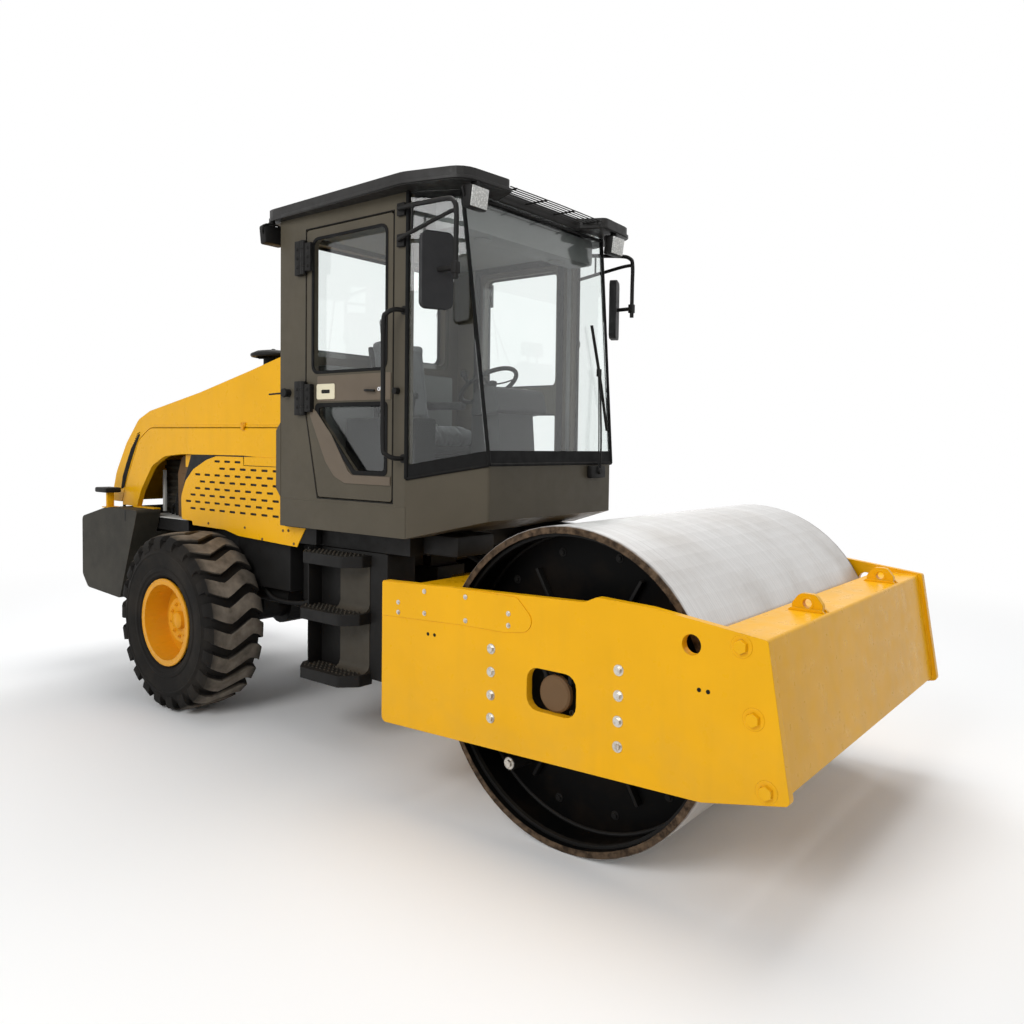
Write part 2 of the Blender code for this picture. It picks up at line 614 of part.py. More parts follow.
def build_cab_side(side):
    """Side frame: rear pillar panel, roof rail and front pillar around the door."""
    outer, inner = side * CAB_HALF, side * (CAB_HALF - CAB_WALL)
    low, high = sorted((outer, inner))
    bottom, top = CAB_FLOOR_TOP + TOUCH, CAB_ROOF_BOTTOM - TOUCH
    name = "cab_right_side" if side < 0 else "cab_left_side"
    frame = outline_solid(name, [(CAB_REAR_X, bottom), (CAB_CORNER_X, bottom), (CAB_CORNER_X, top),
                                 (CAB_REAR_X, top)], low, high, "XZ", "cab_paint")
    doorway = [(DOOR_FOOT_X, bottom + DOOR_SILL), (DOOR_FRONT_X, bottom + DOOR_SILL), (DOOR_FRONT_X, DOOR_TOP + RUN),
               (DOOR_REAR_X, DOOR_TOP + RUN), (DOOR_REAR_X, DOOR_SLANT_Z)]
    opening = outline_solid(name + "_doorway", doorway, low - 0.05, high + 0.05, "XZ")
    cut(frame, opening)
    hinge_y = side * (CAB_HALF + DOOR_HINGE_OUT)
    for z in DOOR_HINGES:
        for end in (-1, 1):
            middle = z + end * (HINGE_KNUCKLE / 2 + TOUCH + HINGE_EAR / 2)
            join(frame, cylinder(name + "_ear", (DOOR_REAR_X, hinge_y, middle), HINGE_RADIUS, HINGE_EAR, "Z", sides=16))
            low, high = sorted((side * (CAB_HALF - 0.01), hinge_y))
            join(frame, box(name + "_leaf", (DOOR_REAR_X - 0.07, low, middle - HINGE_EAR / 2 + 0.001),
                            (DOOR_REAR_X - 0.001, high, middle + HINGE_EAR / 2 - 0.001)))
    return frame


def door_window(name, corners, side):
    low, high = sorted((side * (CAB_HALF + 0.05), side * (CAB_HALF - 0.1)))
    return outline_solid(name, corners, low, high, "XZ")


def build_door(side):
    """Rear-hinged door with an upper and a lower window."""
    outer, inner = side * CAB_HALF, side * (CAB_HALF - DOOR_THICK)
    low, high = sorted((outer, inner))
    name = side_name(side, "door")
    bottom = CAB_FLOOR_TOP + TOUCH + DOOR_SILL + RUN
    leaf = outline_solid(name, [(DOOR_FOOT_X + RUN, bottom, 0.02), (DOOR_FRONT_X - RUN, bottom, 0.02),
                                (DOOR_FRONT_X - RUN, DOOR_TOP, 0.02), (DOOR_REAR_X + RUN, DOOR_TOP, 0.02),
                                (DOOR_REAR_X + RUN, DOOR_SLANT_Z)],
                         low, high, "XZ", "cab_paint")
    upper = door_window(name + "_upper_window", [(-2.09, 2.28, 0.05), (-1.42, 2.28, 0.05), (-1.42, 3.10, 0.05),
                                                 (-2.09, 3.10, 0.05)], side)
    lower = door_window(name + "_lower_window", [(-1.70, 1.68, 0.1), (-1.42, 1.68, 0.03), (-1.42, 2.09, 0.03),
                                                 (-2.05, 2.09, 0.03), (-2.04, 2.02, 0.05)], side)
    cut(leaf, upper, lower)
    hinge_y = side * (CAB_HALF + DOOR_HINGE_OUT)
    for z in DOOR_HINGES:
        join(leaf, cylinder(name + "_knuckle", (DOOR_REAR_X, hinge_y, z), HINGE_RADIUS, HINGE_KNUCKLE, "Z", sides=16))
        low, high = sorted((side * (CAB_HALF - 0.01), side * (CAB_HALF + DOOR_HINGE_OUT + 0.006)))
        join(leaf, box(name + "_strap", (DOOR_REAR_X + 0.008, low, z - 0.045), (DOOR_REAR_X + 0.07, high, z + 0.045)))
    return set_origin(leaf, (DOOR_REAR_X, hinge_y, bottom))


def build_door_glass(side):
    """One pane behind both windows of the door."""
    inner = side * (CAB_HALF - DOOR_THICK - TOUCH)
    low, high = sorted((inner, inner - side * 0.006))
    pane = outline_solid(side_name(side, "door_glass"), [(-1.75, 1.64), (-1.40, 1.64, 0.03), (-1.40, 3.12, 0.03),
                                                         (-2.11, 3.12, 0.03), (-2.11, 2.0)],
                         low, high, "XZ", "glass")
    return set_origin(pane, (DOOR_REAR_X, side * (CAB_HALF + DOOR_HINGE_OUT), CAB_FLOOR_TOP))


def build_cab_rear():
    """Rear wall with the rear window's opening, and its pane."""
    half = CAB_HALF - CAB_WALL - TOUCH
    bottom, top = CAB_FLOOR_TOP + TOUCH, CAB_ROOF_BOTTOM - TOUCH
    wall = box("cab_rear_wall", (CAB_REAR_X, -half, bottom), (CAB_REAR_X + CAB_WALL, half, top), "cab_paint")
    window = outline_solid("rear_window", [(-0.62, 2.45, 0.05), (0.62, 2.45, 0.05), (0.62, 3.15, 0.05),
                                           (-0.62, 3.15, 0.05)], CAB_REAR_X - 0.1, CAB_REAR_X + 0.2, "YZ")
    cut(wall, window)
    for side in (-1, 1):
        for end in (-1, 1):
            y = side * HOOD_HINGE_Y + end * (0.04 + TOUCH + 0.015)
            join(wall, cylinder("hood_ear", (HOOD_HINGE_X, y, HOOD_HINGE_Z), 0.014, 0.03, "Y", sides=16))
            join(wall, box("hood_ear_leaf", (HOOD_HINGE_X, y - 0.0145, HOOD_HINGE_Z - 0.012),
                           (CAB_REAR_X + 0.01, y + 0.0145, HOOD_HINGE_Z + 0.012)))
    x = CAB_REAR_X + CAB_WALL + TOUCH
    pane = outline_solid("rear_glass", [(-0.65, 2.42, 0.05), (0.65, 2.42, 0.05), (0.65, 3.18, 0.05),
                                        (-0.65, 3.18, 0.05)], x, x + 0.006, "YZ", "glass")
    return wall, pane


def build_front_panel():
    """Front and angled corner panels below the glass, one folded sheet."""
    wall = 0.045
    outer = [(CAB_CORNER_X, -CAB_HALF), (CAB_FRONT_X, -CAB_FRONT_HALF, 0.02), (CAB_FRONT_X, CAB_FRONT_HALF, 0.02),
             (CAB_CORNER_X, CAB_HALF)]
    inner = [(CAB_CORNER_X, CAB_HALF - wall), (CAB_FRONT_X - wall, CAB_FRONT_HALF - 0.028),
             (CAB_FRONT_X - wall, -CAB_FRONT_HALF + 0.028), (CAB_CORNER_X, -CAB_HALF + wall)]
    sheet = outline_solid("cab_front_panel", outer + inner, 1.30, 1.80, "XY", "cab_paint")
    rise = (CAB_FRONT_BOTTOM - CAB_FLOOR_BOTTOM) / (CAB_FRONT_X - CAB_CORNER_X)
    sill = (CAB_SILL_FRONT - CAB_SILL_CORNER) / (CAB_FRONT_X - CAB_CORNER_X)
    far = 0.6
    below = outline_solid("panel_below", [(CAB_CORNER_X - 0.1, 1.0), (CAB_CORNER_X + far, 1.0),
                                          (CAB_CORNER_X + far, CAB_FLOOR_BOTTOM + rise * far),
                                          (CAB_CORNER_X - 0.1, CAB_FLOOR_BOTTOM - rise * 0.1)], -1, 1, "XZ")
    above = outline_solid("panel_above", [(CAB_CORNER_X - 0.1, CAB_SILL_CORNER - sill * 0.1),
                                          (CAB_CORNER_X + far, CAB_SILL_CORNER + sill * far),
                                          (CAB_CORNER_X + far, 2.2), (CAB_CORNER_X - 0.1, 2.2)], -1, 1, "XZ")
    cut(sheet, below, above)
    clear = outline_solid("base_clear", [(CAB_REAR_X, -CAB_HALF - TOUCH), (CAB_CORNER_X + TOUCH, -CAB_HALF - TOUCH),
                                         (CAB_FRONT_X - 0.05 + TOUCH, -CAB_FRONT_HALF + 0.03 - TOUCH),
                                         (CAB_FRONT_X - 0.05 + TOUCH, CAB_FRONT_HALF - 0.03 + TOUCH),
                                         (CAB_CORNER_X + TOUCH, CAB_HALF + TOUCH), (CAB_REAR_X, CAB_HALF + TOUCH)],
                          1.2, CAB_FLOOR_TOP + TOUCH, "XY")
    post = box("post_clear", (CAB_CORNER_X - 0.2, -1, 1.2), (CAB_CORNER_X + TOUCH, 1, 2.2))
    return cut(sheet, clear, post)


def build_front_glass():
    """Windshield and the two angled quarter panes."""
    top = CAB_ROOF_BOTTOM - TOUCH
    low = CAB_SILL_FRONT + TOUCH
    lean = (CAB_FRONT_TOP_X - CAB_FRONT_X) / (3.20 - CAB_SILL_FRONT)
    top_x = CAB_FRONT_X + lean * (top - CAB_SILL_FRONT)
    gap = 0.002
    back = GLASS + 0.0015
    screen = slab("windshield", [(CAB_FRONT_X, -CAB_FRONT_HALF + gap, low), (CAB_FRONT_X, CAB_FRONT_HALF - gap, low),
                                 (top_x, CAB_FRONT_TOP_HALF - gap, top), (top_x, -CAB_FRONT_TOP_HALF + gap, top)],
                  GLASS, "glass")
    corner = CAB_CORNER_X + 0.006
    slope = (CAB_HALF - CAB_FRONT_HALF) / (CAB_FRONT_X - CAB_CORNER_X)
    rear_half = CAB_HALF - slope * 0.006
    for side in (-1, 1):
        low_corner = CAB_SILL_CORNER + TOUCH + 0.0015
        ring = [(corner, side * rear_half, low_corner), (CAB_FRONT_X - back, side * (CAB_FRONT_HALF + slope * back), low),
                (top_x - back, side * (CAB_FRONT_TOP_HALF + slope * back), top), (corner, side * rear_half, top)]
        if side > 0:
            ring.reverse()
        slab(side_name(side, "quarter_glass"), ring, GLASS, "glass")
    return screen


def build_roof():
    """Roof cap with a visor: bars between two forward ears."""
    right = [(ROOF_REAR_X, -ROOF_HALF + 0.06, 0.12), (-1.20, -ROOF_HALF, 0.2), (ROOF_EAR_X - 0.03, -ROOF_HALF + 0.10, 0.12),
             (ROOF_EAR_X, -ROOF_NOTCH_HALF - 0.08, 0.04), (ROOF_NOTCH_X, -ROOF_NOTCH_HALF, 0.03)]
    outline = right + [(x, -y, radius) for x, y, radius in reversed(right)]
    roof = outline_solid("cab_roof", outline, CAB_ROOF_BOTTOM, CAB_ROOF_BOTTOM + ROOF_THICK, "XY", "roof_plastic")
    edge = roof.modifiers.new("round_edges", "BEVEL")
    edge.width = 0.02
    edge.segments = 2
    edge.limit_method = "ANGLE"
    edge.angle_limit = math.radians(60)
    return roof


def build_seat():
    """Pedestal, cushion and back rest."""
    seat = box("seat", (-2.10, -0.16, CAB_FLOOR_TOP + TOUCH), (-1.76, 0.16, 1.84), "seat_fabric")
    cushion = outline_solid("cushion", [(-2.16, -0.25, 0.05), (-1.66, -0.25, 0.08), (-1.66, 0.25, 0.08),
                                        (-2.16, 0.25, 0.05)], 1.82, 1.98, "XY")
    back = outline_solid("back_rest", [(-2.20, 1.90, 0.03), (-2.06, 1.90, 0.03), (-2.16, 2.62, 0.05),
                                       (-2.27, 2.62, 0.05)], -0.24, 0.24, "XZ")
    return join(seat, cushion, back)


def build_console():
    """Steering column and console with the steering wheel."""
    console = outline_solid("steering_console", [(-1.36, CAB_FLOOR_TOP + TOUCH), (-1.10, CAB_FLOOR_TOP + TOUCH),
                                                 (-1.16, 2.12, 0.03), (-1.34, 2.06, 0.03)],
                            -0.20, 0.20, "XZ", "black_paint")
    column = tube("column", [(-1.25, 0, 2.05), (-1.373, 0, 2.2345)], 0.03)
    join(console, column)
    major = 0.19
    tilt = Matrix.Translation((-1.37, 0, 2.23)) @ Matrix.Rotation(math.radians(-33), 4, "Y")
    rim = torus("wheel_rim", major, 0.014, tilt)
    spoke = box("wheel_spoke", (-0.03, -major, -0.008), (0.03, major, 0.008))
    spoke.data.transform(tilt)
    return join(console, rim, spoke)


def build_mirror(side):
    """Mirror head on a bent tube from the underside of the roof."""
    name = side_name(side, "mirror")
    x, out, bottom, top = MIRRORS[side]
    y = side * out
    yaw = math.radians(side * MIRROR_YAW)
    head = box(name, (-MIRROR_DEPTH / 2, -MIRROR_WIDTH / 2, bottom), (MIRROR_DEPTH / 2, MIRROR_WIDTH / 2, top), "black_paint")
    head.data.transform(Matrix.Translation((x, y, 0)) @ Matrix.Rotation(yaw, 4, "Z"))
    edge_x = x - math.sin(abs(yaw)) * MIRROR_WIDTH / 2
    edge_y = y + side * math.cos(yaw) * MIRROR_WIDTH / 2
    root = (CAB_FRONT_TOP_X - 0.04, side * 0.77)
    lift = top + 0.12
    loop = [(*root, CAB_ROOF_BOTTOM - TOUCH), (*root, lift + 0.04), (root[0], side * 0.84, lift),
            (edge_x, edge_y + side * 0.03, lift - 0.03), (edge_x, edge_y + side * 0.03, top - 0.14),
            (edge_x + 0.01, edge_y - side * 0.04, top - 0.19)]
    return join(head, tube(name + "_arm", loop, 0.012))


# ---------------------------------------------------------------- wheels
def build_rim(side):
    """Dished rim with its mounting disc, modelled around the wheel's centre."""
    disc = RIM_DISC_Y
    outer = TYRE_OUTER_Y - 0.015
    inner = TYRE_OUTER_Y - TYRE_WIDTH + 0.03
    seat = RIM_RADIUS - 0.03
    profile = [(0.0, disc), (seat - 0.015, disc), (seat - 0.015, inner), (RIM_RADIUS, inner), (RIM_RADIUS, inner + 0.012),
               (seat, inner + 0.03), (seat, outer - 0.03), (RIM_RADIUS, outer - 0.012), (RIM_RADIUS, outer),
               (seat - 0.01, outer), (seat - 0.02, disc + 0.02), (0.17, disc + 0.02), (0.16, disc + 0.05),
               (0.0, disc + 0.05)]
    profile = [(radius, side * y) for radius, y in profile]
    if side > 0:
        profile.reverse()
    made = turned_solid(side_name(side, "rim"), profile, "yellow_paint", 32)
    return place(made, (WHEEL_X, 0, TYRE_RADIUS))


def build_tyre(side):
    """Tyre body: closed ring around the rim's seat, modelled around the wheel's centre."""
    out = TYRE_OUTER_Y
    inner = out - TYRE_WIDTH
    seat = RIM_RADIUS - 0.03 + TOUCH
    bead = RIM_RADIUS + TOUCH
    profile = [(seat, inner + 0.06), (bead + 0.01, inner + 0.042), (bead + 0.04, inner + 0.005), (0.45, inner),
               (TYRE_RADIUS - 0.012, inner + 0.045), (TYRE_RADIUS, inner + 0.09), (TYRE_RADIUS, out - 0.09),
               (TYRE_RADIUS - 0.012, out - 0.045), (0.45, out), (bead + 0.04, out - 0.005),
               (bead + 0.01, out - 0.030), (seat, out - 0.06)]
    profile = [(radius, side * y) for radius, y in profile]
    if side > 0:
        profile.reverse()
    made = turned_solid(side_name(side, "tyre"), profile, "tyre_rubber", 32, closed=True)
    return place(made, (WHEEL_X, 0, TYRE_RADIUS))


# ---------------------------------------------------------------- steering cylinders
BARREL_RADIUS = 0.045
ROD_RADIUS = 0.022
BARREL_LENGTH = 0.52


def steering_line(side):
    base = Vector((PIVOT_X + STEER_BASE[0], side * STEER_BASE[1], STEER_Z))
    eye = Vector((PIVOT_X + STEER_EYE[0], side * STEER_EYE[1], STEER_Z))
    return base, eye


def along_line(made, base, eye):
    """Turn a part modelled along +X from the origin into the cylinder's line."""
    direction = eye - base
    made.matrix_world = Matrix.Translation(base) @ Matrix.Rotation(math.atan2(direction.y, direction.x), 4, "Z")
    return made


def build_steering_cylinder(side):
    base, eye = steering_line(side)
    length = (eye - base).length
    name = side_name(side, "steering_barrel")
    barrel = cylinder(name, (0.05 + BARREL_LENGTH / 2, 0, 0), BARREL_RADIUS, BARREL_LENGTH, "X", "black_paint", sides=24)
    join(barrel, cylinder(name + "_eye", (0, 0, 0), 0.04, 0.07, "Z", sides=24))
    join(barrel, box(name + "_neck", (0.0, -0.02, -0.03), (0.08, 0.02, 0.03)))
    cut(barrel, cylinder(name + "_pin_bore", (0, 0, 0), 0.022 + PIN_CLEARANCE, 0.2, "Z", sides=24))
    reach = BARREL_LENGTH - 0.03
    bore_start = 0.09
    cut(barrel, cylinder(name + "_rod_bore", (bore_start + reach / 2, 0, 0), ROD_RADIUS + PIN_CLEARANCE, reach, "X",
                         sides=24))
    name = side_name(side, "steering_rod")
    tail = 0.33
    rod = cylinder(name, ((tail + length - 0.02) / 2, 0, 0), ROD_RADIUS, length - 0.02 - tail, "X", "chrome", sides=24)
    join(rod, cylinder(name + "_eye", (length, 0, 0), 0.038, 0.06, "Z", sides=24))
    for piece in (barrel, rod):
        along_line(piece, base, eye)
        for step in piece.modifiers:
            along_line(step.object, base, eye)
    return barrel, rod


# ---------------------------------------------------------------- assembly
def build():
    build_drum()
    build_front_beam()
    build_rear_beam()
    build_scraper()
    build_chassis()
    build_articulation()
    build_axle()
    build_counterweight()
    build_hood()
    build_engine()
    build_cab_base()
    build_cab_rear()
    build_front_panel()
    build_front_glass()
    build_roof()
    build_seat()
    build_console()
    for side in (-1, 1):
        build_yoke_plate(side)
        build_drum_carrier(side)
        build_fender(side)
        build_side_grille(side)
        build_steps(side)
        build_cab_side(side)
        build_door(side)
        build_door_glass(side)
        build_mirror(side)
        build_rim(side)
        build_tyre(side)
        build_steering_cylinder(side)
    for made in [*PARTS.objects, *CUTTERS.objects]:
        made.location.x += ORIGIN_X


build()
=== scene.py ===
"""Looks of the road roller: finishes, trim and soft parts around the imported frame.

Shapes are given in drum coordinates (x from the drum's axle, y left, z from the ground), as the
CAD part is, and Batch.done() shifts them by AXLE_X into the row frame.
"""
import json
import math
import random

import bmesh
import bpy
from mathutils import Matrix, Vector


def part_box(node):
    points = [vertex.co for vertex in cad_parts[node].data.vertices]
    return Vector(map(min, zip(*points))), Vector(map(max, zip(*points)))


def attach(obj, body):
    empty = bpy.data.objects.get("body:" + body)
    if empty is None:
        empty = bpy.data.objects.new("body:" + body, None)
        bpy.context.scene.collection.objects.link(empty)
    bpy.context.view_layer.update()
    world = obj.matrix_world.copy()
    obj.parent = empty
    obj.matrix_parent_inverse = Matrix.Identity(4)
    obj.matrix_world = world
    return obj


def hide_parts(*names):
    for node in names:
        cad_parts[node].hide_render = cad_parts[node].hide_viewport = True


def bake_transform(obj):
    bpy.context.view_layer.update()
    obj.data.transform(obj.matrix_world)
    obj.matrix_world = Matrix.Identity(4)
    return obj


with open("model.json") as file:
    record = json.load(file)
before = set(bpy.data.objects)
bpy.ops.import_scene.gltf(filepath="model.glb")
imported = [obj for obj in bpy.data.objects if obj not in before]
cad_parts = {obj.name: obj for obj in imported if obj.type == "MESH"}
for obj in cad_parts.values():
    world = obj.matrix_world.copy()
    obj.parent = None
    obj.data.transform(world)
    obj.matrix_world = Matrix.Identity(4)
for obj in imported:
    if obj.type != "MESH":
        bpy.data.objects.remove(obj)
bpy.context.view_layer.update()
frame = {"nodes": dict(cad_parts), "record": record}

DRUM_LOW, DRUM_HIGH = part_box("drum")
AXLE_X = (DRUM_LOW.x + DRUM_HIGH.x) / 2
DRUM_RADIUS = (DRUM_HIGH.z - DRUM_LOW.z) / 2
DRUM_END = DRUM_HIGH.y
YOKE_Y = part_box("yoke_left_plate")[1].y        # outer face of the yoke's side plates
TYRE_LOW, TYRE_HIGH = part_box("left_tyre")
TYRE_RADIUS = (TYRE_HIGH.z - TYRE_LOW.z) / 2
WHEEL_X = (TYRE_LOW.x + TYRE_HIGH.x) / 2 - AXLE_X
HOOD_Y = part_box("left_fender")[1].y
WEIGHT_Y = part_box("counterweight")[1].y
CAB_Y = 0.825                                  # outer face of the cab's sides
ROOF_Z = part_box("cab_roof")[0].z               # underside of the roof
SIDES = (-1, 1)                                # -1 is the right side


def side_name(side, rest):
    return ("right_" if side < 0 else "left_") + rest


# ---------------------------------------------------------------- camera, light and floor
CAMERA_PLACE = (2.243, -4.188, 1.866)
CAMERA_TURN = (127.703, 2.305, 0.808)          # yaw, downward pitch and roll, degrees
CAMERA_LENS = 30.234
CAMERA_SHIFT = (-0.02123, -0.03242)


def make_camera():
    """The photograph's view."""
    position = Vector(CAMERA_PLACE) + Vector((AXLE_X, 0, 0))
    yaw, pitch, roll = (math.radians(angle) for angle in CAMERA_TURN)
    ahead = Vector((math.cos(yaw) * math.cos(pitch), math.sin(yaw) * math.cos(pitch), -math.sin(pitch)))
    across = ahead.cross(Vector((0, 0, 1))).normalized()
    upward = across.cross(ahead)
    right = across * math.cos(roll) + upward * math.sin(roll)
    up = upward * math.cos(roll) - across * math.sin(roll)
    data = bpy.data.cameras.new("camera")
    data.lens = CAMERA_LENS
    data.shift_x, data.shift_y = CAMERA_SHIFT
    camera = bpy.data.objects.new("camera", data)
    bpy.context.scene.collection.objects.link(camera)
    matrix = Matrix((right, up, -ahead)).transposed().to_4x4()
    matrix.translation = position
    camera.matrix_world = matrix
    bpy.context.scene.camera = camera


def node(tree, kind, **settings):
    made = tree.nodes.new(kind)
    for key, value in settings.items():
        setattr(made, key, value)
    return made


def seen_directly(tree):
    """1 for rays that look at the background straight, in a mirror or through glass."""
    path = node(tree, "ShaderNodeLightPath")
    first = node(tree, "ShaderNodeMath", operation="MAXIMUM")
    second = node(tree, "ShaderNodeMath", operation="MAXIMUM")
    tree.links.new(path.outputs["Is Camera Ray"], first.inputs[0])
    tree.links.new(path.outputs["Is Glossy Ray"], first.inputs[1])
    tree.links.new(first.outputs[0], second.inputs[0])
    tree.links.new(path.outputs["Is Transmission Ray"], second.inputs[1])
    return second.outputs[0]


def make_world():
    world = bpy.data.worlds.new("studio")
    bpy.context.scene.world = world
    world.use_nodes = True
    tree = world.node_tree
    tree.nodes.clear()
    light = node(tree, "ShaderNodeBackground")
    light.inputs["Color"].default_value = (0.95, 0.97, 1.0, 1.0)
    light.inputs["Strength"].default_value = 0.46
    white = node(tree, "ShaderNodeBackground")
    white.inputs["Color"].default_value = (1.0, 1.0, 1.0, 1.0)
    both = node(tree, "ShaderNodeMixShader")
    out = node(tree, "ShaderNodeOutputWorld")
    tree.links.new(seen_directly(tree), both.inputs[0])
    tree.links.new(light.outputs[0], both.inputs[1])
    tree.links.new(white.outputs[0], both.inputs[2])
    tree.links.new(both.outputs[0], out.inputs[0])


# name, position, target, size, power
LAMPS = (("key", (1.5, -9.0, 6.5), (0.2, 0, 1.2), 5.0, 430),
    ("top", (0.5, 1.5, 9.0), (0.3, 0, 0.8), 6.0, 420), ("rear", (-6.0, 6.5, 6.0), (-0.5, 0, 1.4), 5.0, 420))


def area_light(name, position, target, size, power):
    """Round soft lamp that glass doesn't show."""
    data = bpy.data.lights.new(name, "AREA")
    data.shape = "DISK"
    data.size = size
    data.energy = power
    lamp = bpy.data.objects.new(name, data)
    lamp.location = position
    lamp.rotation_euler = (Vector(target) - Vector(position)).to_track_quat("-Z", "Y").to_euler()
    lamp.visible_transmission = False
    bpy.context.scene.collection.objects.link(lamp)


FLOOR_SIZE = 90
FLOOR_FADE = (3.2, 9.0)                        # radius where the floor starts and ends its fade to white


def make_floor():
    """Pale floor whose edge fades into the white background."""
    bpy.ops.mesh.primitive_plane_add(size=FLOOR_SIZE)
    floor = bpy.context.object
    floor.name = "floor"
    made = bpy.data.materials.new("floor")
    made.use_nodes = True
    tree = made.node_tree
    surface = tree.nodes["Principled BSDF"]
    surface.inputs["Base Color"].default_value = (0.93, 0.93, 0.925, 1.0)
    surface.inputs["Roughness"].default_value = 0.9
    surface.inputs["Specular IOR Level"].default_value = 0.1
    glow = node(tree, "ShaderNodeEmission")
    both = node(tree, "ShaderNodeMixShader")
    coords = node(tree, "ShaderNodeTexCoord")
    length = node(tree, "ShaderNodeVectorMath", operation="LENGTH")
    fade = node(tree, "ShaderNodeMapRange", interpolation_type="SMOOTHSTEP")
    fade.inputs["From Min"].default_value, fade.inputs["From Max"].default_value = FLOOR_FADE
    direct = node(tree, "ShaderNodeMath", operation="MULTIPLY")
    tree.links.new(coords.outputs["Object"], length.inputs[0])
    tree.links.new(length.outputs["Value"], fade.inputs["Value"])
    tree.links.new(fade.outputs[0], direct.inputs[0])
    tree.links.new(seen_directly(tree), direct.inputs[1])
    tree.links.new(direct.outputs[0], both.inputs[0])
    tree.links.new(surface.outputs[0], both.inputs[1])
    tree.links.new(glow.outputs[0], both.inputs[2])
    tree.links.new(both.outputs[0], tree.nodes["Material Output"].inputs["Surface"])
    floor.data.materials.append(made)


# ---------------------------------------------------------------- finishes
class Look:
    """A Principled material with helpers for its procedural detail, in the object's own metres."""

    def __init__(self, name, colour, roughness, metallic=0.0, **sockets):
        self.material = bpy.data.materials.new(name)
        self.material.use_nodes = True
        self.tree = self.material.node_tree
        self.shader = self.tree.nodes["Principled BSDF"]
        self.colour = self.rgb(colour)
        self.set("Base Color", self.colour)
        self.set("Roughness", roughness)
        self.set("Metallic", metallic)
        for key, value in sockets.items():
            self.set(key.replace("_", " "), value)
        self.coords = node(self.tree, "ShaderNodeTexCoord").outputs["Object"]

    @staticmethod
    def rgb(colour):
        return (*colour, 1.0) if len(colour) == 3 else colour

    def set(self, socket, value):
        if isinstance(value, bpy.types.NodeSocket):
            self.tree.links.new(value, self.shader.inputs[socket])
        else:
            self.shader.inputs[socket].default_value = value

    def feed(self, target, value):
        if isinstance(value, bpy.types.NodeSocket):
            self.tree.links.new(value, target)
        elif isinstance(value, tuple):
            target.default_value = self.rgb(value)
        else:
            target.default_value = value

    def noise(self, scale, detail=5.0, stretch=(1, 1, 1), rough=0.55):
        mapping = node(self.tree, "ShaderNodeMapping")
        mapping.inputs["Scale"].default_value = stretch
        made = node(self.tree, "ShaderNodeTexNoise")
        made.inputs["Scale"].default_value = scale
        made.inputs["Detail"].default_value = detail
        made.inputs["Roughness"].default_value = rough
        self.tree.links.new(self.coords, mapping.inputs["Vector"])
        self.tree.links.new(mapping.outputs[0], made.inputs["Vector"])
        return made.outputs["Fac"]

    def cells(self, scale):
        made = node(self.tree, "ShaderNodeTexVoronoi")
        made.inputs["Scale"].default_value = scale
        self.tree.links.new(self.coords, made.inputs["Vector"])
        return made.outputs["Distance"]

    def range(self, value, low, high, out_low=0.0, out_high=1.0):
        made = node(self.tree, "ShaderNodeMapRange")
        self.feed(made.inputs["Value"], value)
        made.inputs["From Min"].default_value = low
        made.inputs["From Max"].default_value = high
        made.inputs["To Min"].default_value = out_low
        made.inputs["To Max"].default_value = out_high
        return made.outputs[0]

    def math(self, operation, first, second=0.0):
        made = node(self.tree, "ShaderNodeMath", operation=operation)
        self.feed(made.inputs[0], first)
        self.feed(made.inputs[1], second)
        return made.outputs[0]

    def mix(self, share, first, second):
        made = node(self.tree, "ShaderNodeMix", data_type="RGBA")
        self.feed(made.inputs["Factor"], share)
        self.feed(made.inputs[6], first)
        self.feed(made.inputs[7], second)
        return made.outputs[2]

    def axis(self, letter):
        split = node(self.tree, "ShaderNodeSeparateXYZ")
        self.tree.links.new(self.coords, split.inputs[0])
        return split.outputs[letter]

    def radius(self, x, z):
        """Distance from the sideways axis through x and z."""
        squares = []
        for letter, middle in (("X", x), ("Z", z)):
            away = self.math("SUBTRACT", self.axis(letter), middle)
            squares.append(self.math("MULTIPLY", away, away))
        return self.math("SQRT", self.math("ADD", *squares))

    def facing_up(self):
        """1 where the surface looks up."""
        geometry = node(self.tree, "ShaderNodeNewGeometry")
        split = node(self.tree, "ShaderNodeSeparateXYZ")
        self.tree.links.new(geometry.outputs["Normal"], split.inputs[0])
        return self.range(split.outputs["Z"], 0.35, 0.95)

    def edges(self, radius):
        """1 along sharp edges, and the rounded normal that goes with them."""
        soft = node(self.tree, "ShaderNodeBevel", samples=4)
        soft.inputs["Radius"].default_value = radius
        geometry = node(self.tree, "ShaderNodeNewGeometry")
        dot = node(self.tree, "ShaderNodeVectorMath", operation="DOT_PRODUCT")
        self.tree.links.new(soft.outputs[0], dot.inputs[0])
        self.tree.links.new(geometry.outputs["Normal"], dot.inputs[1])
        return self.range(dot.outputs["Value"], 0.995, 0.9), soft.outputs[0]

    def bump(self, height, strength, distance=0.001, normal=None):
        made = node(self.tree, "ShaderNodeBump")
        made.inputs["Strength"].default_value = strength
        made.inputs["Distance"].default_value = distance
        self.feed(made.inputs["Height"], height)
        if normal is not None:
            self.tree.links.new(normal, made.inputs["Normal"])
        self.set("Normal", made.outputs[0])


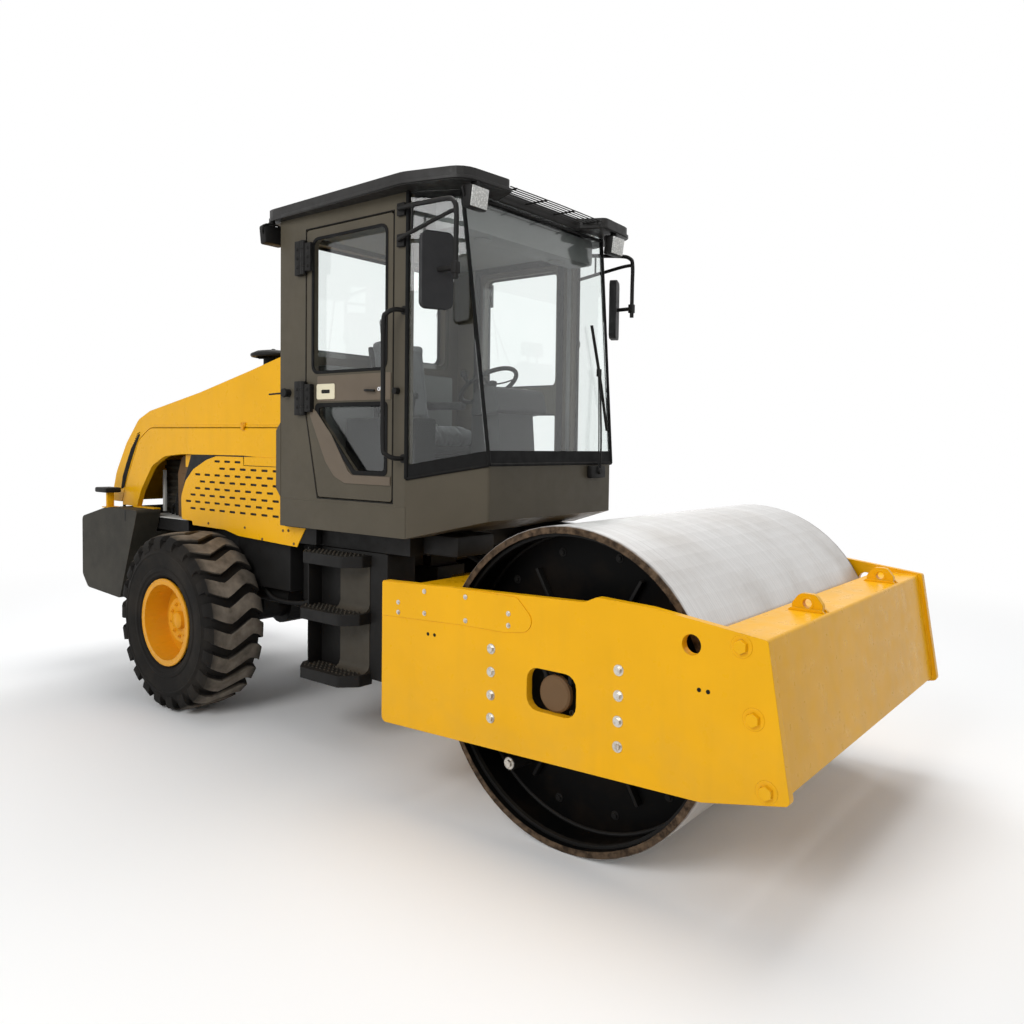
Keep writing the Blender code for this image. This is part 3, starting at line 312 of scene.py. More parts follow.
def yellow_look(name, colour, grime=0.14):
    """Gloss paint: faint orange peel, hand marks, dust low down and chips on the edges."""
    look = Look(name, colour, 0.3, Coat_Weight=0.05, Coat_Roughness=0.08, Specular_IOR_Level=0.16)
    deep = tuple(c * 0.9 for c in colour)
    tone = look.mix(look.range(look.noise(1.7), 0.35, 0.7), colour, deep)
    streaks = look.range(look.noise(9.0, 6.0, (1, 1, 0.12)), 0.52, 0.78, 0.0, grime)
    tone = look.mix(streaks, tone, tuple(c * 0.55 + 0.02 for c in colour))
    low = look.range(look.axis("Z"), 0.95, 0.3, 0.0, 0.22)
    dust = look.math("MULTIPLY", low, look.range(look.noise(5.0, 8.0), 0.35, 0.65))
    tone = look.mix(dust, tone, (0.5, 0.33, 0.08))
    edge, rounded_normal = look.edges(0.004)
    chips = look.math("MULTIPLY", edge, look.range(look.noise(26.0, 8.0), 0.6, 0.66, 0.0, 0.7))
    tone = look.mix(chips, tone, (0.22, 0.14, 0.06))
    look.set("Base Color", tone)
    look.set("Roughness", look.range(look.noise(14.0), 0.3, 0.7, 0.24, 0.42))
    look.bump(look.noise(420.0, 2.0), 0.06, 0.0006, rounded_normal)
    return look.material


def drum_look():
    """Rolled steel outside with brushed rings and rust at the rims; dark paint inside the shell."""
    look = Look("drum_steel", (0.4, 0.39, 0.375), 0.4, Specular_IOR_Level=0.06)
    radius = look.radius(AXLE_X, DRUM_RADIUS)
    outside = look.range(radius, DRUM_RADIUS - 0.01, DRUM_RADIUS - 0.004)
    width = look.math("ABSOLUTE", look.axis("Y"))
    rings = look.noise(3.0, 8.0, (0.25, 55.0, 0.25), 0.7)
    blotch = look.noise(2.2, 7.0)
    steel = look.mix(look.range(rings, 0.3, 0.7), (0.48, 0.47, 0.455), (0.74, 0.73, 0.72))
    steel = look.mix(look.range(blotch, 0.45, 0.75, 0.0, 0.45), steel, (0.3, 0.265, 0.23))
    rim = look.range(look.math("ADD", width, look.math("MULTIPLY", blotch, 0.05)), DRUM_END + 0.008,
        DRUM_END + 0.032)
    rust = look.mix(look.range(look.noise(38.0, 8.0), 0.35, 0.65), (0.03, 0.02, 0.013), (0.12, 0.08, 0.05))
    steel = look.mix(rim, steel, rust)
    lip = look.math("MULTIPLY", look.range(width, DRUM_END - 0.004, DRUM_END - 0.001),
        look.range(radius, DRUM_RADIUS - 0.045, DRUM_RADIUS - 0.035))
    inner = look.mix(look.range(look.noise(4.0, 9.0), 0.48, 0.72, 0.0, 0.5), (0.003, 0.003, 0.003),
        (0.02, 0.013, 0.008))
    tone = look.mix(outside, inner, steel)
    look.set("Base Color", look.mix(lip, tone, rust))
    bare = look.math("MULTIPLY", outside, look.range(rim, 0.0, 1.0, 0.85, 0.1))
    look.set("Metallic", bare)
    look.set("Roughness", look.range(look.math("ADD", rings, blotch), 0.7, 1.3, 0.3, 0.55))
    look.bump(look.math("ADD", rings, look.noise(60.0, 8.0)), 0.12, 0.0015, look.edges(0.005)[1])
    return look.material


def painted_look(name, colour, roughness, metallic=0.0, dust=0.25, dust_colour=(0.16, 0.125, 0.09),
        grain=300.0, gloss=0.22, bump=0.12):
    """Satin paint or plastic with fine grain, rubbed edges and dust on what faces up."""
    look = Look(name, colour, roughness, metallic, Specular_IOR_Level=gloss)
    lighter = tuple(min(1.0, c * 1.45 + 0.004) for c in colour)
    tone = look.mix(look.range(look.noise(3.5, 7.0), 0.35, 0.75, 0.0, 0.35), colour, lighter)
    edge, rounded_normal = look.edges(0.003)
    tone = look.mix(look.math("MULTIPLY", edge, 0.35), tone, lighter)
    settled = look.math("MULTIPLY", look.facing_up(), look.range(look.noise(11.0, 9.0), 0.35, 0.7, 0.2,
        1.0))
    tone = look.mix(look.math("MULTIPLY", settled, dust), tone, dust_colour)
    look.set("Base Color", tone)
    look.set("Roughness", look.range(look.noise(18.0, 6.0), 0.3, 0.7, roughness - 0.08, roughness + 0.12))
    look.bump(look.noise(grain, 3.0), bump, 0.0008, rounded_normal)
    return look.material


def cast_look(name, colour, roughness=0.6, gloss=0.2):
    """Cast iron under paint: pitted skin, dust and a little rust on the edges."""
    look = Look(name, colour, roughness, Specular_IOR_Level=gloss)
    tone = look.mix(look.range(look.noise(6.0, 9.0), 0.35, 0.7), colour, tuple(c * 1.7 for c in colour))
    edge, rounded_normal = look.edges(0.004)
    worn = look.math("MULTIPLY", edge, look.range(look.noise(30.0, 6.0), 0.45, 0.6))
    tone = look.mix(worn, tone, (0.1, 0.065, 0.04))
    look.set("Base Color", tone)
    look.bump(look.math("ADD", look.noise(70.0, 8.0), look.cells(160.0)), 0.35, 0.0016, rounded_normal)
    return look.material


def rubber_look():
    """Tyre: black carcass, and lugs whose worn tops carry brown dust."""
    look = Look("tyre_rubber", (0.012, 0.011, 0.01), 0.85, Specular_IOR_Level=0.15)
    radius = look.radius(WHEEL_X + AXLE_X, TYRE_RADIUS)
    patchy = look.range(look.noise(14.0, 9.0), 0.3, 0.7, 0.45, 1.0)
    top = look.math("MULTIPLY", look.range(radius, TYRE_RADIUS - 0.022, TYRE_RADIUS - 0.004), patchy)
    tone = look.mix(top, (0.01, 0.009, 0.008), (0.235, 0.2, 0.16))
    dusty = look.math("MULTIPLY", look.range(look.noise(4.0, 9.0), 0.45, 0.7), 0.5)
    look.set("Base Color", look.mix(dusty, tone, (0.034, 0.028, 0.022)))
    look.bump(look.math("ADD", look.noise(90.0, 8.0), look.noise(7.0, 4.0)), 0.3, 0.0015)
    return look.material


def glass_look():
    """Clear green-tinted glass that lets the lamps through to the cab."""
    look = Look("cab_glass", (0.92, 0.96, 0.945), 0.0, Transmission_Weight=1.0, IOR=1.45)
    look.set("Base Color", look.mix(look.range(look.noise(1.3), 0.4, 0.7), (0.94, 0.975, 0.965),
        (0.97, 0.99, 0.985)))
    clear = node(look.tree, "ShaderNodeBsdfTransparent")
    clear.inputs["Color"].default_value = (0.94, 0.97, 0.96, 1.0)
    both = node(look.tree, "ShaderNodeMixShader")
    path = node(look.tree, "ShaderNodeLightPath")
    out = look.tree.nodes["Material Output"]
    glass = out.inputs["Surface"].links[0].from_socket
    look.tree.links.new(path.outputs["Is Shadow Ray"], both.inputs[0])
    look.tree.links.new(glass, both.inputs[1])
    look.tree.links.new(clear.outputs[0], both.inputs[2])
    look.tree.links.new(both.outputs[0], out.inputs["Surface"])
    return look.material


def weave_look(name, colour, scale=520.0):
    """Woven seat cloth: crossed threads in colour and bump, with a soft sheen."""
    look = Look(name, colour, 0.9, Sheen_Weight=0.35, Sheen_Roughness=0.45)
    threads = []
    for stretch in ((1, 0, 0.4), (0, 1, 0.4)):
        mapping = node(look.tree, "ShaderNodeMapping")
        mapping.inputs["Scale"].default_value = stretch
        wave = node(look.tree, "ShaderNodeTexWave")
        wave.inputs["Scale"].default_value = scale / 6.0
        wave.inputs["Distortion"].default_value = 0.6
        look.tree.links.new(look.coords, mapping.inputs["Vector"])
        look.tree.links.new(mapping.outputs[0], wave.inputs["Vector"])
        threads.append(wave.outputs["Fac"])
    cross = look.math("MULTIPLY", threads[0], threads[1])
    tone = look.mix(look.range(cross, 0.0, 0.6), tuple(c * 0.6 for c in colour), colour)
    look.set("Base Color", look.mix(look.range(look.noise(8.0), 0.4, 0.7, 0.0, 0.3), tone,
        tuple(c * 1.5 for c in colour)))
    look.bump(cross, 0.5, 0.0006)
    return look.material


def metal_look(name, colour, roughness, tarnish):
    """Plated or bare metal with tarnish in patches."""
    look = Look(name, colour, roughness, 1.0)
    patch = look.range(look.noise(45.0, 8.0), 0.48, 0.68, 0.0, 0.7)
    look.set("Base Color", look.mix(patch, colour, tarnish))
    look.set("Roughness", look.range(patch, 0.0, 0.7, roughness, roughness + 0.25))
    look.bump(look.noise(260.0, 4.0), 0.1, 0.0005)
    return look.material


def lens_look(name, colour):
    """Moulded lamp lens: ribbed clear plastic over a bright bowl."""
    look = Look(name, colour, 0.12, Coat_Weight=0.6, Coat_Roughness=0.05)
    ribs = look.cells(90.0)
    look.set("Base Color", look.mix(look.range(ribs, 0.1, 0.6), colour, tuple(c * 0.6 for c in colour)))
    look.bump(ribs, 0.6, 0.003)
    return look.material


def make_finishes():
    yellow = (0.87, 0.435, 0.002)
    return {
        "yellow_paint": yellow_look("yellow_paint", yellow),
        "drum_steel": drum_look(),
        "cab_paint": painted_look("cab_paint", (0.074, 0.063, 0.044), 0.42, 0.0, 0.1, (0.2, 0.17, 0.13),
        700.0, 0.18),
        "black_paint": painted_look("black_paint", (0.009, 0.0085, 0.008), 0.5, 0.0, 0.22,
        (0.09, 0.07, 0.05), gloss=0.16),
        "grey_cast": cast_look("grey_cast", (0.024, 0.0215, 0.016)),
        "roof_plastic": painted_look("roof_plastic", (0.02, 0.019, 0.018), 0.45, 0.0, 0.25,
        (0.16, 0.145, 0.12), 500.0),
        "tyre_rubber": rubber_look(),
        # the yellow paint darkened to orange as painted shade of the wheel dish; the wheel nuts, hub caps
        # and hood latches wear it too
        "rim_paint": yellow_look("rim_paint", (0.76, 0.33, 0.008), 0.3),
        "cab_glass": glass_look(),
        "seat_fabric": weave_look("seat_fabric", (0.14, 0.145, 0.15)),
        "console_plastic": painted_look("console_plastic", (0.018, 0.018, 0.019), 0.6, 0.0, 0.1,
        grain=420.0),
        "rod_chrome": metal_look("rod_chrome", (0.78, 0.78, 0.79), 0.08, (0.45, 0.42, 0.38)),
        "seal_rubber": painted_look("seal_rubber", (0.006, 0.006, 0.006), 0.65, 0.0, 0.1, gloss=0.12),
        "bolt_steel": metal_look("bolt_steel", (0.62, 0.6, 0.56), 0.35, (0.3, 0.22, 0.15)),
        "lamp_lens": lens_look("lamp_lens", (0.8, 0.8, 0.76)),
        "red_lens": lens_look("red_lens", (0.45, 0.015, 0.01)),
        "amber_lens": lens_look("amber_lens", (0.8, 0.22, 0.01)),
        "mirror_face": metal_look("mirror_face", (0.86, 0.88, 0.88), 0.02, (0.75, 0.77, 0.77)),
        "cream_plastic": painted_look("cream_plastic", (0.68, 0.62, 0.45), 0.45, 0.0, 0.1),
        "pale_trim": painted_look("pale_trim", (0.5, 0.5, 0.47), 0.6, 0.0, 0.2),
        # brown that paints the yellow of the wheel arches in shade; the drum motors and panel bolts wear it
        # too
        "brown_painted_shade": painted_look("brown_painted_shade", (0.13, 0.075, 0.035), 0.65, 0.0, 0.4),
        "cab_moulding": painted_look("cab_moulding", (0.12, 0.094, 0.068), 0.4, 0.0, 0.1, (0.2, 0.17, 0.13),
        700.0, 0.2),
        "riser_paint": painted_look("riser_paint", (0.05, 0.043, 0.032), 0.55, 0.0, 0.3),
        "lining_grey": painted_look("lining_grey", (0.15, 0.155, 0.15), 0.7, 0.0, 0.1, grain=120.0,
        bump=0.03),
        "hose_rubber": painted_look("hose_rubber", (0.009, 0.009, 0.009), 0.55, 0.0, 0.15, grain=220.0,
        gloss=0.18),
    }


# ---------------------------------------------------------------- mesh building
def rounded(corners, steps=4):
    """Outline points from (u, v) or (u, v, radius) corners; a radius turns a corner into an arc."""
    points = []
    for i, corner in enumerate(corners):
        here = Vector(corner[:2])
        radius = corner[2] if len(corner) > 2 else 0.0
        if radius <= 0:
            points.append(here)
            continue
        before = (Vector(corners[i - 1][:2]) - here).normalized()
        after = (Vector(corners[(i + 1) % len(corners)][:2]) - here).normalized()
        half = before.angle(after) / 2
        centre = here + (before + after).normalized() * (radius / math.sin(half))
        start = here + before * (radius / math.tan(half)) - centre
        sweep = start.angle_signed(here + after * (radius / math.tan(half)) - centre)
        for k in range(steps + 1):
            turn = -sweep * k / steps
            c, s = math.cos(turn), math.sin(turn)
            points.append(centre + Vector((start.x * c - start.y * s, start.x * s + start.y * c)))
    return points


def rectangle(x0, x1, z0, z1, radius=0.0, grow=0.0):
    """Rectangle outline with its corner radius, grown outwards."""
    x0, x1, z0, z1 = x0 - grow, x1 + grow, z0 - grow, z1 + grow
    return ((x0, z0, radius), (x1, z0, radius), (x1, z1, radius), (x0, z1, radius))


def around(count, radius, first=0.5):
    """Places on a circle, as two coordinates; the first sits part of a step past the start."""
    for k in range(count):
        angle = math.tau * (k + first) / count
        yield radius * math.cos(angle), radius * math.sin(angle)


def smooth_path(points, steps=6):
    """Catmull-Rom curve through the points."""
    points = [Vector(p) for p in points]
    ends = [points[0] * 2 - points[1]] + points + [points[-1] * 2 - points[-2]]
    path = []
    for a, b, c, d in zip(ends, ends[1:], ends[2:], ends[3:]):
        for k in range(steps):
            t = k / steps
            path.append(0.5 * (2 * b + (c - a) * t + (2 * a - 5 * b + 4 * c - d) * t ** 2
                               + (3 * b - a - 3 * c + d) * t ** 3))
    return path + [points[-1]]


def aim(direction):
    """Rotation that turns +Z into the direction."""
    return Vector(direction).to_track_quat("Z", "Y").to_matrix().to_4x4()


AXIS = {"X": (1, 0, 0), "Y": (0, 1, 0), "Z": (0, 0, 1)}
PLANES = {
    "XZ": lambda middle: Matrix.Translation((0, middle, 0)) @ Matrix.Rotation(math.pi / 2, 4, "X"),
    "XY": lambda middle: Matrix.Translation((0, 0, middle)),
    "YZ": lambda middle: Matrix(((0, 0, 1, middle), (1, 0, 0, 0), (0, 1, 0, 0), (0, 0, 0, 1))),
}


class Batch:
    """Shapes collected into one mesh, in drum coordinates."""

    def __init__(self):
        self.bm = bmesh.new()

    def box(self, low, high, bevel=0.003, turn=None):
        size = [abs(high[i] - low[i]) for i in range(3)]
        centre = [(high[i] + low[i]) / 2 for i in range(3)]
        matrix = Matrix.Translation(centre) @ (turn or Matrix()) @ Matrix.Diagonal((*size, 1))
        made = bmesh.ops.create_cube(self.bm, size=1.0, matrix=matrix)
        if bevel:
            edges = list(dict.fromkeys(edge for vert in made["verts"] for edge in vert.link_edges))
            bmesh.ops.bevel(self.bm, geom=edges, offset=min(bevel, min(size) * 0.45), segments=2,
                affect="EDGES", profile=0.6, clamp_overlap=True)

    def rod(self, start, end, radius, tip=None, sides=14):
        start, end = Vector(start), Vector(end)
        matrix = Matrix.Translation((start + end) / 2) @ aim(end - start)
        bmesh.ops.create_cone(self.bm, cap_ends=True, segments=sides, radius1=radius,
            radius2=radius if tip is None else tip, depth=(end - start).length, matrix=matrix)

    def bolt(self, point, axis, radius=0.016, height=0.011):
        """Hexagon head on a washer; the axis points out of the surface."""
        point, axis = Vector(point), Vector(axis).normalized()
        self.rod(point - axis * 0.001, point + axis * 0.003, radius * 1.55, radius * 1.45, 18)
        self.rod(point + axis * 0.002, point + axis * height, radius, radius * 0.93, 6)

    def lathe(self, profile, centre, axis="Y", steps=40, closed=False):
        """(radius, along) profile turned about an axis through the centre."""
        turn = Matrix.Translation(centre) @ aim(AXIS[axis] if isinstance(axis, str) else axis)
        rings = []
        for k in range(steps):
            c, s = math.cos(2 * math.pi * k / steps), math.sin(2 * math.pi * k / steps)
            rings.append([self.bm.verts.new(turn @ Vector((r * c, r * s, along))) for r, along in profile])
        count = len(profile)
        for k in range(steps):
            here, there = rings[k], rings[(k + 1) % steps]
            for i in range(count if closed else count - 1):
                j = (i + 1) % count
                self.bm.faces.new((here[i], there[i], there[j], here[j]))

    def ring(self, centre, axis, major, minor, steps=40, section=10):
        """Torus."""
        turns = [2 * math.pi * k / section for k in range(section)]
        self.lathe([(major + minor * math.cos(a), minor * math.sin(a)) for a in turns], centre, axis, steps,
            True)

    def tube(self, points, radius, sides=10, smooth=6, flat=1.0):
        """Bar swept along the points, with closed ends."""
        path = smooth_path(points, smooth) if smooth else [Vector(p) for p in points]
        up = Vector((0.13, 0.21, 0.97))
        rings = []
        for i, point in enumerate(path):
            ahead = (path[min(i + 1, len(path) - 1)] - path[max(i - 1, 0)]).normalized()
            across = ahead.cross(up).normalized()
            up = across.cross(ahead).normalized()
            ring = []
            for k in range(sides):
                a = 2 * math.pi * k / sides
                spot = point + across * (radius * math.cos(a)) + up * (radius * flat * math.sin(a))
                ring.append(self.bm.verts.new(spot))
            rings.append(ring)
        self.skin(rings)

    def fill(self, outlines, low, high, plane="XZ", steps=4, matrix=None):
        """Flat plate of the first outline, with the others as holes."""
        low, high = sorted((low, high))
        curve = bpy.data.curves.new("outline", "CURVE")
        curve.dimensions = "2D"
        curve.fill_mode = "BOTH"
        curve.extrude = (high - low) / 2
        for corners in outlines:
            points = rounded(corners, steps)
            spline = curve.splines.new("POLY")
            spline.points.add(len(points) - 1)
            for place, point in zip(spline.points, points):
                place.co = (point.x, point.y, 0.0, 1.0)
            spline.use_cyclic_u = True
        guide = bpy.data.objects.new("outline", curve)
        bpy.context.scene.collection.objects.link(guide)
        mesh = bpy.data.meshes.new_from_object(guide.evaluated_get(bpy.context.evaluated_depsgraph_get()))
        bpy.data.objects.remove(guide, do_unlink=True)
        bpy.data.curves.remove(curve)
        mesh.transform(PLANES[plane]((low + high) / 2))
        if matrix is not None:
            mesh.transform(matrix)
        self.bm.from_mesh(mesh)
        bpy.data.meshes.remove(mesh)

    def strip(self, rows):
        """Skin over rows of points, closed into a solid loop by its own first and last points."""
        self.skin([[self.bm.verts.new(p) for p in row] for row in rows])

    def skin(self, rings):
        """Faces between rings of vertices, and a cap at each end."""
        for here, there in zip(rings, rings[1:]):
            for k in range(len(here)):
                j = (k + 1) % len(here)
                self.bm.faces.new((here[k], here[j], there[j], there[k]))
        self.bm.faces.new(list(reversed(rings[0])))
        self.bm.faces.new(rings[-1])

    def done(self, name, body, finish, slot=None, sharp=35, bevel=0.0):
        """Makes the object and rides it on its body; the slot argument is not used; a blended hose has no
        body.
        """
        bmesh.ops.remove_doubles(self.bm, verts=self.bm.verts, dist=0.00001)
        bmesh.ops.recalc_face_normals(self.bm, faces=self.bm.faces)
        bmesh.ops.translate(self.bm, verts=self.bm.verts, vec=(AXLE_X, 0, 0))
        mesh = bpy.data.meshes.new(name)
        self.bm.to_mesh(mesh)
        self.bm.free()
        mesh.materials.append(FINISH[finish])
        mesh.shade_smooth()
        mesh.set_sharp_from_angle(angle=math.radians(sharp))
        made = bpy.data.objects.new(name, mesh)
        bpy.context.scene.collection.objects.link(made)
        if bevel:
            soft = made.modifiers.new("soft_edges", "BEVEL")
            soft.width = bevel
            soft.segments = 2
            soft.limit_method = "ANGLE"
            soft.angle_limit = math.radians(40)
        if body:
            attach(made, body)
        return made


# ---------------------------------------------------------------- yoke
BOLT_COLUMNS = {-0.351: (0.576, 0.685, 0.795, 0.904), 0.351: (0.599, 0.707, 0.816, 0.924)}
BIG_BOLTS = ((0.895, 1.109), (0.95, 0.84), (1.008, 0.576))
COVER_BOLTS = ((-0.975, 1.048), (-0.974, 0.997), (-0.789, 1.125), (-0.787, 1.015), (-0.513, 1.13),
    (-0.511, 1.016), (-0.246, 1.085), (-0.245, 1.03))
PLUGS = ((-0.765, 0.914), (-0.72, 0.915), (0.722, 0.911), (0.761, 0.91))
COVER = ((-1.096, 0.966, 0.01), (-0.52, 0.992), (-0.27, 0.994, 0.2), (-0.15, 1.012, 0.05),
    (-0.085, 1.06, 0.05), (-0.2, 1.166, 0.03), (-0.6, 1.166), (-1.096, 1.144, 0.01))
PLATE_WELDS = ((0.745, 1.136, 0.975, 1.136), (1.066, 0.6, 0.982, 1.12), (0.745, 1.13, 0.81, 0.82),
    (-1.08, 1.1, -0.86, 1.1), (-0.853, 1.08, -0.853, 0.96))
LIFTING_LUGS = (-0.397, 0.711)                 # sideways places
LUG_PAD = ((0.795, 1.1372), (0.965, 1.1372), (0.95, 1.15, 0.01), (0.81, 1.15, 0.01))


def yoke_trim():
    """Bolts, plugs and cover strips on the yoke's side plates."""
    steel, hexes, plugs, cover = Batch(), Batch(), Batch(), Batch()
    for side in SIDES:
        out = (0, side, 0)
        face = side * YOKE_Y
        for x, heights in BOLT_COLUMNS.items():
            for z in heights:
                steel.bolt((x, face, z), out, 0.0165, 0.013)
        for x, z in BIG_BOLTS:
            hexes.bolt((x, face, z), out, 0.03, 0.02)
        for x, z in COVER_BOLTS:
            steel.bolt((x, face + side * 0.004, z), out, 0.0085, 0.008)
        for x, z in PLUGS:
            plugs.rod((x, face - side * 0.002, z), (x, face + side * 0.001, z), 0.009)
        cover.fill([COVER], face, face + side * 0.004)
    steel.done("yoke_bolts", "front_frame", "bolt_steel")
    hexes.done("yoke_corner_bolts", "front_frame", "yellow_paint", bevel=0.0015)
    plugs.done("yoke_plugs", "front_frame", "seal_rubber")
    cover.done("yoke_cover_strips", "front_frame", "yellow_paint", bevel=0.0012)


def bead(batch, start, end, radius=0.006, seed=1):
    """Weld bead: a bar with a rippled surface."""
    rng = random.Random(seed)
    start, end = Vector(start), Vector(end)
    steps = max(6, int((end - start).length / 0.02))
    points = [start.lerp(end, k / steps) + Vector([rng.uniform(-0.0012, 0.0012) for _ in range(3)])
        for k in range(steps + 1)]
    batch.tube(points, radius, 6, 1)


def yoke_welds():
    """Weld beads inside the yoke and the reinforced eyes of the lifting lugs."""
    welds = Batch()
    inner = YOKE_Y - 0.04
    for side in SIDES:
        y = side * inner
        for seed, (x, z, x2, z2) in enumerate(PLATE_WELDS, 3):
            bead(welds, (x, y, z), (x2, y, z2), 0.006, seed)
    for y in LIFTING_LUGS:
        for edge in (-0.016, 0.016):
            bead(welds, (0.815, y + edge, 1.137), (0.945, y + edge, 1.137), 0.005, 8)
    for z in (0.54, 0.96, 0.5, 1.00):
        bead(welds, (-1.1, -0.25, z), (-1.1, 0.25, z), 0.006, 9)
    welds.done("yoke_welds", "front_frame", "yellow_paint", sharp=60)
    lugs = Batch()
    for y in LIFTING_LUGS:
        lugs.lathe([(0.021, -0.017), (0.03, -0.017), (0.033, -0.013), (0.033, 0.013), (0.03, 0.017),
            (0.021, 0.017)], (0.88, y, 1.172), "Y", 24, True)
        for near, far in ((-0.03, -0.0155), (0.0155, 0.03)):
            lugs.fill([LUG_PAD], y + near, y + far)
    lugs.done("lifting_lug_eyes", "front_frame", "yellow_paint", bevel=0.001)


def carrier_trim():
    """What shows through the hub windows: buffers, bearing cover, motor, pipes."""
    steel, rubber, motor, hoses = Batch(), Batch(), Batch(), Batch()
    z = DRUM_RADIUS
    for side in SIDES:
        plate = side * (DRUM_END - 0.2 + 0.13)
        for x in (-0.35, 0.35):
            for dz in (-0.12, 0.12):
                rubber.lathe([(0.078, 0.0), (0.088, 0.01), (0.08, 0.03), (0.088, 0.05), (0.08, 0.07),
                    (0.078, 0.085)], (x, plate if side > 0 else plate - 0.085, z + dz), "Y", 24)
        motor.lathe([(0.0, 0.0), (0.075, 0.0), (0.085, 0.008), (0.085, 0.03), (0.06, 0.045), (0.0, 0.045)],
            (0, side * (DRUM_END + 0.031) - 0.045, z), "Y", 28)
        for dx, dz in around(8, 0.105):
            steel.bolt((dx, side * (DRUM_END - 0.01), z + dz), (0, side, 0), 0.009, 0.008)
        for dx, height in ((-0.045, 0.03), (0.0, 0.05), (0.045, 0.02)):
            hoses.tube([(dx, side * (DRUM_END + 0.03), z + 0.02),
                (dx * 1.6, side * (DRUM_END + 0.05), z + 0.06 + height),
                (dx * 2 - 0.05, side * (DRUM_END + 0.045), z + 0.2),
                (-0.25, side * (DRUM_END + 0.03), z + 0.3 + dx),
                (-0.62, side * (DRUM_END + 0.02), z + 0.27 + dx),
                (-0.87, side * (DRUM_END - 0.02), z + 0.22 + dx)], 0.012, 10)
            steel.rod((dx, side * (DRUM_END + 0.02), z + 0.02), (dx, side * (DRUM_END + 0.045), z + 0.035),
                0.015, sides=6)
    steel.done("carrier_bolts", "front_frame", "bolt_steel")
    rubber.done("drum_buffers", "front_frame", "hose_rubber", sharp=60)
    motor.done("drum_motors", "front_frame", "brown_painted_shade", bevel=0.001)
    hoses.done("drum_motor_hoses", "front_frame", "hose_rubber", sharp=60)


# ---------------------------------------------------------------- drum
def drum_trim():
    """Ribs, bolts and filler plugs in the drum's ends."""
    ribs, bolts = Batch(), Batch()
    head = DRUM_END - 0.2
    z = DRUM_RADIUS
    for side in SIDES:
        for (x, dz), (near_x, near_dz) in zip(around(12, 0.62), around(12, 0.145)):
            ribs.bolt((x, side * head, z + dz), (0, side, 0), 0.014, 0.012)
            ribs.bolt((near_x, side * (head + 0.05), z + near_dz), (0, side, 0), 0.01, 0.01)
        for k in range(6):
            turn = Matrix.Rotation(math.tau * k / 6, 4, "Y")
            middle = Matrix.Translation((0, side * (head + 0.018), z)) @ turn @ Vector((0.4, 0, 0))
            ribs.box((middle.x - 0.19, middle.y - 0.018, middle.z - 0.008),
                (middle.x + 0.19, middle.y + 0.018, middle.z + 0.008), 0.003, turn)
        ribs.lathe([(0.7, -0.012), (0.7148, -0.012), (0.7148, 0.012), (0.7, 0.012)],
            (0, side * (DRUM_END - 0.045), z), "Y", 64, True)
        ribs.ring((0, side * head, z), "Y", 0.708, 0.01, 64, 8)
    # filler plug and its boss in the end plate, near the rim
    for side in SIDES:
        bolts.bolt((-0.351, side * (DRUM_END - 0.045), 0.318), (0, side, 0), 0.02, 0.016)
        ribs.rod((-0.351, side * head, 0.318), (-0.351, side * (DRUM_END - 0.045), 0.318), 0.045, 0.035, 20)
    ribs.done("drum_end_ribs", "roller", "black_paint", "drum_steel")
    bolts.done("drum_filler_plugs", "roller", "bolt_steel")


# ---------------------------------------------------------------- wheels
LUGS = 22
LUG_DEPTH = 0.044
BEAD_SEAT = 0.2703                             # radius where the tyre sits on the rim
WHEEL_DISC = 0.974                             # sideways place of the disc's outer face
# share across the tyre from inside (-1) to outside (1), and drop of the lug's top below the tyre's radius
LUG_ROWS = ((-0.975, 0.105), (-0.985, 0.075), (-0.955, 0.042), (-0.86, 0.016), (-0.62, 0.006),
    (-0.45, 0.002), (-0.3, 0.001), (-0.1, 0.0005), (0.12, 0.0005), (0.3, 0.001), (0.48, 0.003),
    (0.68, 0.007), (0.86, 0.016), (0.955, 0.042), (0.985, 0.075), (0.975, 0.105))
LUG_WAVE = ((-1.0, 0.085), (-0.68, -0.01), (-0.42, -0.03), (0.28, 0.115), (0.52, 0.09), (1.0, 0.0))


def lug_lead(share):
    """Angle by which a tread bar runs ahead of its outer end, as a wave across the tyre."""
    share = max(-1.0, min(1.0, share))
    for (s0, a0), (s1, a1) in zip(LUG_WAVE, LUG_WAVE[1:]):
        if share <= s1:
            return a0 + (a1 - a0) * (share - s0) / (s1 - s0)


